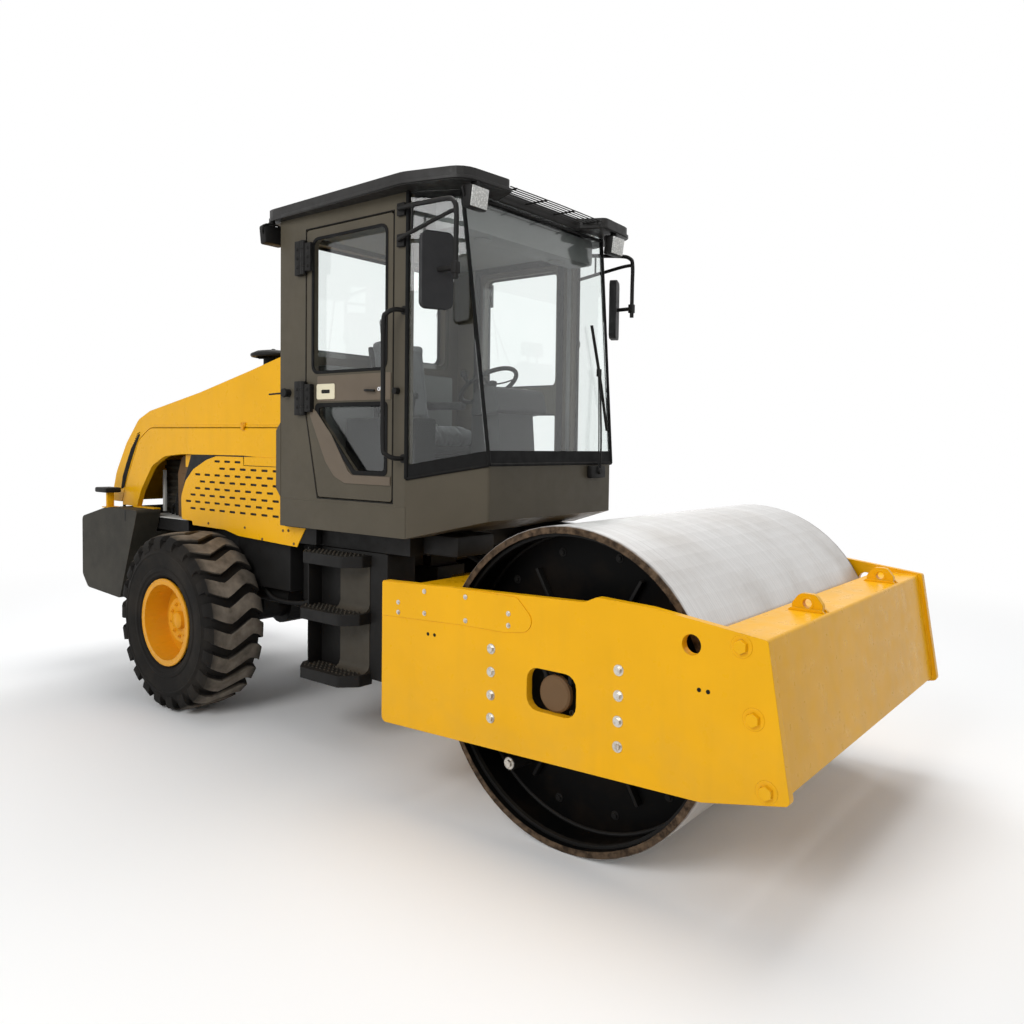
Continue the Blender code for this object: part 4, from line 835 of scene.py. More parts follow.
def wheel_trim(side):
    """Tyre with chevron lugs and ribbed side walls, rim bolts, hub cap and valve."""
    body = side_name(side, "wheel")
    low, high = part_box(side_name(side, "tyre"))
    middle_y = (low.y + high.y) / 2
    half = (high.y - low.y) / 2
    centre = (WHEEL_X, middle_y, TYRE_RADIUS)
    base = TYRE_RADIUS - LUG_DEPTH
    tyre = Batch()
    wall = [(BEAD_SEAT, half - 0.06), (0.312, half - 0.03), (0.325, half - 0.014), (0.342, half - 0.012),
        (0.352, half - 0.004), (0.372, half - 0.004), (0.38, half - 0.009), (0.42, half - 0.002),
        (0.455, half), (0.47, half - 0.001), (0.474, half + 0.002), (0.482, half + 0.002),
        (0.487, half - 0.003), (0.52, half - 0.012), (0.548, half - 0.03), (base, half - 0.062)]
    crown = [(base + 0.004, 0.06), (base + 0.004, -0.06)]
    profile = wall + crown + [(radius, -along) for radius, along in reversed(wall)]
    tyre.lathe(profile, centre, "Y", 72, True)
    for k in range(LUGS):
        rows = []
        for share, drop in LUG_ROWS:
            top = TYRE_RADIUS - drop
            deep = abs(share) > 0.9
            root = top - 0.02 if deep else base - 0.012
            inward = -math.copysign(0.03, share) if deep else 0.0
            middle = math.tau * k / LUGS - lug_lead(share)
            row = []
            for radius, wide, shift in ((root, 0.096, inward), (top, 0.084, 0.0), (top, -0.084, 0.0),
                    (root, -0.096, inward)):
                angle = middle + wide * (0.9 if deep else 1.0)
                row.append((WHEEL_X + radius * math.cos(angle), middle_y + side * (share * half + shift),
                    TYRE_RADIUS + radius * math.sin(angle)))
            rows.append(row)
        tyre.strip(rows)
    made = tyre.done(side_name(side, "tyre_tread"), body, "tyre_rubber", sharp=30)
    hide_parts(side_name(side, "tyre"))
    disc = side * WHEEL_DISC
    bolts, dish, trim = Batch(), Batch(), Batch()
    for dx, dz in around(10, 0.115, 0.3):
        x, z = WHEEL_X + dx, TYRE_RADIUS + dz
        bolts.bolt((x, disc, z), (0, side, 0), 0.012, 0.016)
        bolts.rod((x, disc + side * 0.014, z), (x, disc + side * 0.026, z), 0.006, 0.005, 8)
    dish.lathe([(0.0, side * 0.05), (0.045, side * 0.05), (0.058, side * 0.04), (0.064, side * 0.01),
        (0.08, side * 0.006), (0.148, side * 0.006), (0.156, side * 0.01), (0.16, side * 0.004),
        (0.16, -side * 0.004), (0.0, -side * 0.004)], (WHEEL_X, disc, TYRE_RADIUS), "Y", 40)
    dish.ring((WHEEL_X, side * 1.099, TYRE_RADIUS), "Y", 0.292, 0.0085, 64, 8)
    dish.ring((WHEEL_X, side * 1.055, TYRE_RADIUS), "Y", 0.263, 0.006, 64, 8)
    trim.tube([(WHEEL_X + 0.2, side * 0.945, TYRE_RADIUS + 0.08),
        (WHEEL_X + 0.222, side * 0.985, TYRE_RADIUS + 0.09), (WHEEL_X + 0.235, side * 1.035,
        TYRE_RADIUS + 0.095)], 0.006, 8)
    bolts.done(side_name(side, "wheel_nuts"), body, "rim_paint", sharp=30)
    dish.done(side_name(side, "wheel_hub_cap"), body, "rim_paint", sharp=40)
    trim.done(side_name(side, "tyre_valve"), body, "seal_rubber")


# the rims take the yellow darkened by painted shade
CAD_FINISH = {"right_rim": "rim_paint", "left_rim": "rim_paint", "right_side_grille": "black_paint",
    "left_side_grille": "black_paint", "engine_block": "grey_cast"}


def dress_cad():
    """Each carried-over CAD node takes its slot's finish."""
    slots = {row["node"]: row["material_slot"] for row in frame["record"]["subparts"]}
    for name, made in frame["nodes"].items():
        finish = FINISH[CAD_FINISH.get(name, slots[name])]
        made.data.materials.clear()
        made.data.materials.append(finish)


# ---------------------------------------------------------------- engine bay and tail
PANEL = ((-3.14, 1.236), (-2.975, 1.205), (-2.33, 1.182), (-2.243, 1.309), (-2.455, 1.309), (-2.455, 1.69),
    (-2.92, 1.69), (-2.925, 1.75), (-3.248, 1.75, 0.1), (-3.375, 1.72, 0.1), (-3.545, 1.649, 0.1),
    (-3.649, 1.561, 0.1), (-3.708, 1.445, 0.1), (-3.7, 1.275, 0.02), (-3.56, 1.272, 0.01), (-3.55, 1.242))
PANEL_BOLTS = ((-3.346, 1.268), (-2.901, 1.268), (-2.475, 1.278), (-2.418, 1.282), (-2.36, 1.201),
    (-2.702, 1.205))
SLOT_TOP = 1.713
SLOT_START = -2.618               # centre of the first slot in the even rows
STEP_PANEL_END = -2.98            # the top row starts behind the small panel under the fender
SLOT_PITCH = (0.124, 0.0497)      # along the row, between rows
SLOT_SIZE = (0.07, 0.0155)
SLOT_ENDS = (-3.27, -3.26, -3.55, -3.5, -3.57, -3.58, -3.62, -3.61)   # where each row stops, from the top


def perforated_panels():
    """Yellow skin with staggered slots over the dark service panel."""
    skin, bolts = Batch(), Batch()
    w, h = SLOT_SIZE[0] / 2, SLOT_SIZE[1] / 2
    for side in SIDES:
        face = side * HOOD_Y
        slots = []
        for row, last in enumerate(SLOT_ENDS):
            z = SLOT_TOP - row * SLOT_PITCH[1]
            x = SLOT_START + (SLOT_PITCH[0] / 2 if row % 2 else 0.0)
            while x > last:
                if row > 0 or x < STEP_PANEL_END:
                    slots.append(rectangle(x - w, x + w, z - h, z + h, 0.006))
                x -= SLOT_PITCH[0]
        skin.fill([PANEL] + slots, face + side * 0.0004, face + side * 0.005, steps=2)
        for x, z in PANEL_BOLTS:
            bolts.rod((x, face + side * 0.0045, z), (x, face + side * 0.009, z), 0.01, 0.008, 12)
    skin.done("perforated_panels", "rear_frame", "yellow_paint", sharp=30)
    bolts.done("panel_bolts", "rear_frame", "brown_painted_shade")


# front edge of the curved vent in the hood's flank
VENT_LINE = ((-4.29, 1.905), (-4.365, 1.8), (-4.44, 1.68), (-4.5, 1.575), (-4.548, 1.47))
VENT_SLATS = 26


def hood_trim():
    """Flank vents, latches, tail louvres, grab handles and the intake cap, all on the hood."""
    vents, latches, frame_lines, hinges = Batch(), Batch(), Batch(), Batch()
    for side in SIDES:
        face = side * HOOD_Y
        upper = [(x - 0.006, z + 0.008, 0.006) for x, z in VENT_LINE]
        widths = (0.044, 0.078, 0.078, 0.078, 0.056)
        lower = [(x - wide, z - 0.012, 0.006) for wide, (x, z) in zip(widths, VENT_LINE)]
        vents.fill([upper + lower[::-1]], face - side * 0.001, face + side * 0.0035)
        for k in range(VENT_SLATS):
            t = k / (VENT_SLATS - 1) * (len(VENT_LINE) - 1.001)
            i = int(t)
            x, z = Vector(VENT_LINE[i]).lerp(Vector(VENT_LINE[i + 1]), t - i) + Vector((-0.028, 0.004))
            vents.rod((x - 0.034, face + side * 0.0035, z - 0.01),
                (x + 0.012, face + side * 0.0035, z + 0.008), 0.0022, sides=6)
        latches.box((-2.945, face - side * 0.001, 1.957), (-2.895, face + side * 0.012, 1.985), 0.004)
        latches.box((-2.935, face + side * 0.004, 1.935), (-2.905, face + side * 0.018, 1.97), 0.004)
        for x in (-2.935, -2.905):
            latches.rod((x, face, 1.98), (x, face + side * 0.015, 1.98), 0.005, sides=8)
        # raised rib along the hood's foot
        frame_lines.fill([rectangle(-4.1, -2.47, 1.962, 1.972)], face, face + side * 0.0025)
    # louvred tail grille across the hood's sloping back
    tail = ((-4.56, 1.785), (-4.625, 1.69), (-4.69, 1.585), (-4.735, 1.48), (-4.765, 1.395))
    half = 0.52
    for (x, z), (x2, z2) in zip(tail, tail[1:]):
        for t in (0.0, 0.5):
            px, pz = x + (x2 - x) * t, z + (z2 - z) * t
            vents.box((px - 0.022, -half, pz - 0.006), (px + 0.012, half, pz + 0.006), 0.003,
                Matrix.Rotation(math.radians(-28), 4, "Y"))
    for y in (-half, -0.26, 0.0, 0.26, half):
        vents.tube([(x - 0.004, y, z) for x, z in tail], 0.009, 8, 3)
    latches.lathe([(0.0, -0.012), (0.04, -0.012), (0.046, -0.004), (0.046, 0.006), (0.03, 0.014),
        (0.0, 0.014)], (-4.6, 0.0, 1.86), (-0.83, 0, 0.55), 24)
    for y in (-0.3, 0.3):
        hinges.tube([(-4.33, y - 0.07, 2.02), (-4.36, y - 0.07, 2.06), (-4.36, y + 0.07, 2.06),
            (-4.33, y + 0.07, 2.02)], 0.009, 8, 4)
    vents.done("hood_vents", "engine_hood", "seal_rubber")
    latches.done("hood_latches", "engine_hood", "rim_paint")
    frame_lines.done("hood_ribs", "engine_hood", "yellow_paint", bevel=0.001)
    hinges.done("hood_grab_handles", "engine_hood", "black_paint", sharp=60)
    cap, stem = Batch(), Batch()
    centre = (-2.8, -0.6, 2.44)
    cap.lathe([(0.0, 0.045), (0.05, 0.043), (0.11, 0.034), (0.148, 0.016), (0.152, 0.004), (0.146, -0.006),
        (0.135, -0.008), (0.132, -0.002), (0.09, 0.004), (0.0, 0.006)], centre, "Z", 44)
    cap.rod((-2.8, -0.6, 2.48), (-2.8, -0.6, 2.492), 0.016, 0.012, 8)
    stem.lathe([(0.075, -0.12), (0.075, -0.095), (0.066, -0.088), (0.066, -0.01), (0.085, 0.0), (0.0, 0.0)],
        centre, "Z", 32)
    for k, (dx, dy) in enumerate(around(14, 0.09, 0.0)):
        x, y = centre[0] + dx, centre[1] + dy
        stem.box((x - 0.022, y - 0.001, 2.425), (x + 0.022, y + 0.001, 2.442), 0,
            Matrix.Rotation(math.tau * k / 14, 4, "Z"))
    cap.done("air_intake_cap", "engine_hood", "black_paint", sharp=50)
    stem.done("air_intake_neck", "engine_hood", "seal_rubber", sharp=50)


def engine_bay():
    """What shows in the wheel arches: inner liners coloured brown as painted shade, ledge, radiator and
    pipes.
    """
    liner, ledge, dark, pipes, yellow = Batch(), Batch(), Batch(), Batch(), Batch()
    for side in SIDES:
        near = side * 0.6
        liner.fill([((-3.98, 1.27), (-3.7, 1.27), (-3.7, 1.74), (-3.93, 1.74, 0.05), (-3.99, 1.6, 0.05))],
            near, near + side * 0.018)
        liner.fill([rectangle(-3.93, -3.72, 1.52, 1.6)], near + side * 0.018, near + side * 0.026)
        ledge.box((-4.385, side * 0.44, 1.2605), (-3.72, side * 0.705, 1.268), 0.002)
        ledge.box((-4.3, side * 0.55, 1.29), (-4.27, side * 0.57, 1.62), 0.004)
        dark.box((-4.38, side * 0.3, 1.27), (-4.05, side * 0.5, 1.7), 0.02)
        for k in range(7):
            dark.box((-4.37, side * 0.502, 1.3 + k * 0.055), (-4.06, side * 0.512, 1.325 + k * 0.055),
                0.003)
        dark.box((-4.00, side * 0.34, 1.27), (-3.72, side * 0.52, 1.42), 0.01)
        pipes.tube([(-4.1, side * 0.55, 1.27), (-4.08, side * 0.56, 1.4), (-4.00, side * 0.56, 1.5),
            (-3.85, side * 0.5, 1.56), (-3.74, side * 0.44, 1.58)], 0.022, 12)
        pipes.tube([(-4.2, side * 0.54, 1.27), (-4.18, side * 0.55, 1.33), (-4.05, side * 0.57, 1.37),
            (-3.8, side * 0.55, 1.38), (-3.72, side * 0.52, 1.36)], 0.012, 10)
        yellow.fill([((-3.74, 1.66), (-3.6, 1.66, 0.02), (-3.6, 1.75), (-3.74, 1.75))], side * 0.62,
            side * 0.7)
        yellow.fill([rectangle(-2.915, -2.455, 1.694, 1.752)], side * HOOD_Y, side * (HOOD_Y + 0.004))
    # the liners' brown is painted shade of the yellow arch
    liner.done("arch_liners", "rear_frame", "brown_painted_shade", bevel=0.003)
    ledge.done("arch_ledges", "rear_frame", "pale_trim")
    dark.done("radiator_and_boxes", "rear_frame", "grey_cast")
    pipes.done("coolant_pipes", "rear_frame", "hose_rubber", sharp=60)
    yellow.done("fender_brackets", "rear_frame", "yellow_paint", bevel=0.002)


def counterweight_trim():
    """Side and tail lamps, plate holder, handles and slots of the counterweight."""
    dark, yellow, lamps, amber, reflect = (Batch() for _ in range(5))
    for side in SIDES:
        face = side * WEIGHT_Y
        dark.fill([rectangle(-4.262, -4.244, 1.235, 1.318, 0.008)], face - side * 0.001,
            face + side * 0.001)
        dark.box((-4.685, side * 0.8, 1.438), (-4.505, side * 0.925, 1.478), 0.012)
        amber.box((-4.68, side * 0.815, 1.445), (-4.69, side * 0.91, 1.471), 0.003)
        yellow.box((-4.585, side * 0.83, 1.32), (-4.56, side * 0.885, 1.44), 0.004)
        yellow.box((-4.62, side * 0.8, 1.318), (-4.52, side * 0.9, 1.326), 0.002)
        # tail lamp cluster let into the rear face
        dark.box((-4.958, side * 0.62, 1.07), (-4.945, side * 0.83, 1.19), 0.006)
        for lens, y in ((reflect, 0.68), (amber, 0.77)):
            lens.lathe([(0.0, 0.012), (0.03, 0.01), (0.038, 0.004), (0.04, 0.0), (0.0, 0.0)],
                (-4.957, side * y, 1.13), (-1, 0, 0), 28)
        reflect.box((-4.956, side * 0.55, 0.98), (-4.948, side * 0.7, 1.01), 0.002)
        dark.tube([(-4.8, side * 0.5, 1.255), (-4.8, side * 0.5, 1.325), (-4.8, side * 0.62, 1.325),
            (-4.8, side * 0.62, 1.248)], 0.012, 8, 4)
        yellow.fill([((-4.1, 1.32), (-4.4, 1.322), (-4.43, 1.335), (-4.1, 1.335))], side * 0.7,
            side * 0.752)
    # blank plate holder and its lamp
    lamps.box((-4.954, -0.26, 1.04), (-4.95, 0.26, 1.15), 0.002)
    dark.box((-4.952, -0.275, 1.025), (-4.946, 0.275, 1.165), 0.003)
    dark.box((-4.975, -0.05, 1.165), (-4.948, 0.05, 1.19), 0.004)
    dark.done("weight_fittings", "rear_frame", "black_paint")
    yellow.done("side_lamp_brackets", "rear_frame", "yellow_paint")
    lamps.done("side_lamp_lenses", "rear_frame", "lamp_lens")
    amber.done("turn_lamps", "rear_frame", "amber_lens")
    reflect.done("tail_lamps", "rear_frame", "red_lens")


STEP_X = (-2.22, -1.68)
STEP_Z = (0.44, 0.81, 1.155)


def step_tower(side):
    """Boarding steps: tank, side strips, curved risers and three bevelled treads with grip studs."""
    low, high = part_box(side_name(side, "steps"))
    top = high.z
    inner, back, outer = side * 0.46, side * 0.7, side * 0.88
    body, treads, risers, studs = Batch(), Batch(), Batch(), Batch()
    body.box((-2.165, inner, low.z + 0.01), (-1.54, back, top), 0.03)
    x = -2.16
    body.box((x, back - side * 0.02, low.z + 0.03), (x + 0.012, back + side * 0.1, top), 0.004)
    body.rod((-1.6, side * 0.58, 0.44), (-1.6, side * 0.58, 0.405), 0.03, 0.025, 12)
    for z in STEP_Z:
        wide = 0.88 if z < 1.0 else 0.86
        outline = ((STEP_X[0], side * 0.69), (STEP_X[0], side * (wide - 0.09), 0.02),
            (STEP_X[0] + 0.09, side * wide, 0.03), (STEP_X[1] - 0.09, side * wide, 0.03),
            (STEP_X[1], side * (wide - 0.09), 0.02), (STEP_X[1], side * 0.69))
        treads.fill([outline], z - 0.042, z + 0.026, "XY")
        for i in range(13):
            for j in range(4):
                x = STEP_X[0] + 0.045 + i * 0.0375
                y = side * (0.725 + j * 0.036)
                if abs(x + 1.95) > 0.2 and j > 2:
                    continue
                studs.rod((x, y, z + 0.025), (x, y, z + 0.033), 0.0085, 0.006, 8)
    for foot, head in zip(STEP_Z, STEP_Z[1:]):
        rows = []
        for x in (-1.96, -1.69):
            rows.append([(x, back + side * d, z) for d, z in ((0.004, head - 0.03), (0.004, foot + 0.07),
                (0.014, foot + 0.045), (0.032, foot + 0.032), (0.055, foot + 0.027), (0.055, foot + 0.024),
                (0.0, foot + 0.024), (0.0, head - 0.03))])
        risers.strip(rows)
        studs.bolt((-2.02, back + side * 0.03, foot + 0.026), (0, 0, 1), 0.011, 0.01)
    made = body.done(side_name(side, "step_tank"), "rear_frame", "black_paint")
    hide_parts(side_name(side, "steps"))
    treads.done(side_name(side, "step_treads"), "rear_frame", "black_paint", "grey_cast", bevel=0.008)
    risers.done(side_name(side, "step_risers"), "rear_frame", "riser_paint", "grey_cast", sharp=50)
    studs.done(side_name(side, "step_studs"), "rear_frame", "grey_cast")


def underbody():
    """Boxes, valves and pipes under the cab and between the frames."""
    dark, pipes = Batch(), Batch()
    for side in SIDES:
        dark.box((-3.1, side * 0.42, 0.86), (-2.5, side * 0.68, 1.19), 0.02)
        dark.box((-2.47, side * 0.42, 0.8), (-2.2, side * 0.6, 1.18), 0.015)
        dark.rod((-2.98, side * 0.55, 0.8), (-2.62, side * 0.55, 0.8), 0.06, sides=24)
        pipes.tube([(-3.0, side * 0.5, 0.84), (-2.8, side * 0.46, 0.74), (-2.5, side * 0.46, 0.72),
            (-2.3, side * 0.4, 0.8)], 0.018, 10)
        pipes.tube([(-2.9, side * 0.62, 0.86), (-2.7, side * 0.64, 0.78), (-2.4, side * 0.6, 0.8),
            (-2.25, side * 0.55, 0.95)], 0.014, 10)
        for k in range(4):
            pipes.tube([(-1.42, side * (0.18 + 0.1 * k), 1.19), (-1.38, side * (0.2 + 0.1 * k), 1.235),
                (-1.3, side * (0.2 + 0.1 * k), 1.27), (-1.22, side * (0.22 + 0.1 * k), 1.3)], 0.012, 8)
        dark.box((-1.33, side * 0.3, 1.215), (-1.05, side * 0.62, 1.335), 0.02)
    dark.box((-2.2, -0.32, 1.06), (-1.78, -0.16, 1.2), 0.01)
    dark.box((-2.2, 0.16, 1.06), (-1.78, 0.32, 1.2), 0.01)
    dark.rod((-3.32, 0, 0.6), (-2.6, 0, 0.72), 0.035, sides=20)
    dark.box((-2.72, -0.18, 0.62), (-2.45, 0.18, 0.8), 0.03)
    dark.done("underbody_boxes", "rear_frame", "black_paint")
    pipes.done("underbody_pipes", "rear_frame", "hose_rubber", sharp=60)
    for k, y in enumerate((-0.075, -0.025, 0.025, 0.075)):
        hose = Batch()
        hose.tube([(-1.8, y, 1.17), (-1.66, y * 1.4, 1.215 + 0.012 * (k % 2)), (-1.5, y * 1.8, 1.19),
            (-1.34, y * 1.6, 1.125), (-1.2, y * 1.4, 1.075), (-1.08, y * 1.3, 1.055)], 0.0155, 12, 8)
        made = hose.done("joint_hose_%d" % (k + 1), None, "hose_rubber", sharp=70)
        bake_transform(made)


# ---------------------------------------------------------------- cab
UPPER_WINDOW = (-2.09, -1.42, 2.28, 3.1)
MOULDING = ((-2.1, 2.075, 0.01), (-2.105, 2.03, 0.02), (-1.955, 1.745, 0.06), (-1.87, 1.655, 0.08),
    (-1.775, 1.618, 0.05), (-1.384, 1.618), (-1.384, 1.668), (-1.705, 1.668, 0.02), (-1.745, 1.69, 0.03),
    (-1.895, 1.9, 0.1), (-2.045, 2.05, 0.02))


HINGE_HEIGHTS = (2.13, 2.99)
HINGE_X = -2.15


def door_trim(side):
    """Window seals, moulding, lock plate, handle and hinge plates on one door."""
    leaf = side_name(side, "door_leaf")
    face = side * CAB_Y
    seals, raised, dark, cream, chrome = (Batch() for _ in range(5))
    seals.fill([rectangle(*UPPER_WINDOW, 0.055, 0.004), rectangle(*UPPER_WINDOW, 0.04, -0.014)],
        face - side * 0.004, face + side * 0.004)
    outer = ((-1.706, 1.672, 0.03), (-1.412, 1.672, 0.03), (-1.412, 2.098, 0.03), (-2.06, 2.098, 0.03),
        (-2.052, 2.014, 0.05))
    inner = ((-1.694, 1.696, 0.04), (-1.436, 1.696, 0.03), (-1.436, 2.074, 0.03), (-2.022, 2.074, 0.02),
        (-2.016, 2.022, 0.04))
    seals.fill([outer, inner], face - side * 0.004, face + side * 0.0045)
    raised.fill([MOULDING], face, face + side * 0.007)
    raised.fill([rectangle(-2.035, -1.385, 2.108, 2.262, 0.01)], face, face + side * 0.004)
    cream.fill([rectangle(-2.036, -1.868, 2.12, 2.213, 0.012),
        rectangle(-1.992, -1.912, 2.155, 2.178, 0.006)], face + side * 0.004, face + side * 0.009)
    dark.box((-1.998, face + side * 0.001, 2.15), (-1.906, face + side * 0.0055, 2.183), 0.001)
    chrome.lathe([(0.0, 0.022), (0.011, 0.022), (0.014, 0.018), (0.018, 0.006), (0.02, 0.0), (0.0, 0.0)],
        (-1.46, face + side * 0.004, 2.168), (0, side, 0), 24)
    dark.box((-1.462, face + side * 0.025, 2.163), (-1.458, face + side * 0.028, 2.173), 0)
    # recessed pull beside the lock
    dark.tube([(-1.6, face + side * 0.006, 2.165), (-1.56, face + side * 0.024, 2.163),
        (-1.5, face + side * 0.022, 2.16)], 0.007, 8)
    for z in HINGE_HEIGHTS:
        dark.box((-2.128, face - side * 0.001, z - 0.085), (-2.072, face + side * 0.033, z + 0.085), 0.004)
        dark.rod((HINGE_X, face + side * 0.022, z - 0.0495), (HINGE_X, face + side * 0.022, z + 0.0495),
            0.0205, sides=20)
        for dz in (-0.055, 0.0, 0.055):
            dark.bolt((-2.1, face + side * 0.033, z + dz), (0, side, 0), 0.008, 0.006)
    seals.done(side_name(side, "door_window_seals"), leaf, "seal_rubber")
    raised.done(side_name(side, "door_mouldings"), leaf, "cab_moulding", bevel=0.0025)
    cream.done(side_name(side, "lock_plate"), leaf, "cream_plastic", bevel=0.001)
    dark.done(side_name(side, "door_fittings"), leaf, "black_paint")
    chrome.done(side_name(side, "door_lock"), leaf, "rod_chrome")
    lining = Batch()
    inside = side * (CAB_Y - 0.056)
    lining.fill([((-1.98, 1.56, 0.03), (-1.4, 1.56, 0.03), (-1.4, 1.63), (-1.75, 1.63), (-2.02, 1.9))],
        inside, inside + side * 0.01)
    lining.tube([(-1.95, inside - side * 0.004, 2.14), (-1.93, inside - side * 0.045, 2.16),
        (-1.6, inside - side * 0.045, 2.16), (-1.58, inside - side * 0.004, 2.14)], 0.011, 10, 4)
    lining.done(side_name(side, "door_lining"), leaf, "console_plastic")


GLASS_FOOT = (-0.832, 0.611, 1.749)            # left corner between windshield and quarter pane
GLASS_LEAN = (-0.98 + 0.832) / (3.2 - 1.749)   # how far it leans back for each metre of height
GLASS_HEAD_Y = 0.684


def glass_corner(side, share):
    """Point on the edge between the windshield and the quarter pane; share 0 is the foot, 1 the roof."""
    x, y, z = GLASS_FOOT
    rise = (ROOF_Z - z) * share
    return Vector((x + GLASS_LEAN * rise, side * (y + (GLASS_HEAD_Y - y) * share), z + rise))


def cab_body_trim(side):
    """Fixed side of the cab: door seal, hinge plates, latches, handrail, glass gaskets, rear bulge."""
    face = side * CAB_Y
    seals, dark, rail, paint = (Batch() for _ in range(4))
    doorway = ((-2.035, 1.52), (-1.37, 1.52), (-1.37, 3.161), (-2.15, 3.161), (-2.15, 2.035))
    inside = ((-2.01, 1.545), (-1.395, 1.545), (-1.395, 3.136), (-2.125, 3.136), (-2.125, 2.03))
    wide = ((-2.06, 1.503), (-1.345, 1.503), (-1.345, 3.185), (-2.175, 3.185), (-2.175, 2.04))
    seals.fill([wide, inside], side * 0.7645, side * 0.756)
    lip = ((-2.04, 1.5145), (-1.3645, 1.5145), (-1.3645, 3.1665), (-2.1555, 3.1665), (-2.1555, 2.037))
    seals.fill([lip, doorway], face - side * 0.002, face + side * 0.0015)
    for z in HINGE_HEIGHTS:
        dark.box((-2.226, face - side * 0.001, z - 0.105), (-2.172, face + side * 0.033, z + 0.105), 0.004)
        for end in (-1, 1):
            dark.rod((HINGE_X, face + side * 0.022, z + end * 0.0515),
                (HINGE_X, face + side * 0.022, z + end * 0.103), 0.0205, sides=20)
        for dz in (-0.055, 0.0, 0.055):
            dark.bolt((-2.2, face + side * 0.033, z + dz), (0, side, 0), 0.008, 0.006)
    # door holder behind the door: rubber buffer, rod and its eye
    dark.rod((-2.321, face, 2.167), (-2.321, face + side * 0.035, 2.167), 0.026, 0.022, 20)
    dark.rod((-2.321, face + side * 0.035, 2.167), (-2.321, face + side * 0.045, 2.167), 0.03, 0.027, 20)
    dark.tube([(-2.33, face + side * 0.025, 2.165), (-2.4, face + side * 0.035, 2.163),
        (-2.47, face + side * 0.04, 2.16)], 0.006, 8)
    dark.rod((-1.33, face, 2.154), (-1.33, face + side * 0.03, 2.154), 0.02, 0.018, 16)
    # handrail on the front corner pillar
    rail.tube([(-1.285, face, 2.6), (-1.295, face + side * 0.06, 2.598),
        (-1.32, face + side * 0.098, 2.575), (-1.335, face + side * 0.107, 2.52),
        (-1.335, face + side * 0.107, 2.2), (-1.333, face + side * 0.107, 1.85),
        (-1.32, face + side * 0.098, 1.8), (-1.295, face + side * 0.06, 1.778), (-1.285, face, 1.775)],
        0.0135, 12)
    for z in (2.6, 1.775):
        rail.rod((-1.285, face - side * 0.001, z), (-1.285, face + side * 0.005, z), 0.026, 0.024, 20)
    # folded edge at the cab's rear
    paint.fill([((-2.452, 1.56, 0.01), (-2.405, 1.505), (-2.405, 1.985), (-2.452, 1.93, 0.01))],
        side * 0.69, face + side * 0.002)
    paint.fill([rectangle(-2.4, -1.27, 1.498, 1.506)], face - side * 0.001, face + side * 0.0008)
    # gaskets of the quarter pane and the corner to the windshield
    foot, head = glass_corner(side, 0.0), glass_corner(side, 1.0)
    rear_low = Vector((-1.262, side * 0.8235, 1.662))
    rear_high = Vector((-1.262, side * 0.8235, ROOF_Z))
    out = Vector((0.005, side * 0.003, 0))
    for a, b, radius in ((foot, head, 0.0105), (rear_low, rear_high, 0.0125), (rear_low, foot, 0.009)):
        seals.tube([a + out, a.lerp(b, 0.5) + out, b + out - Vector((0, 0, 0.002))], radius, 8, 3)
    # printed dark band along the foot of the pane
    up = Vector((0, 0, 0.078))
    skin = Vector((0.0035, side * 0.0035, 0))
    a, b = rear_low + skin, foot + skin
    lift = Vector((-0.008, side * 0.004, 0))
    seals.strip([[a, b, b + skin * 0.5, a + skin * 0.5], [a + up, b + up + lift, b + up + lift + skin * 0.5,
        a + up + skin * 0.5]])
    seals.done(side_name(side, "cab_seals"), "rear_frame", "seal_rubber", sharp=50)
    dark.done(side_name(side, "cab_side_fittings"), "rear_frame", "black_paint", sharp=40)
    rail.done(side_name(side, "handrail"), "rear_frame", "black_paint", sharp=60)
    paint.done(side_name(side, "cab_folded_edge"), "rear_frame", "cab_paint", bevel=0.004)


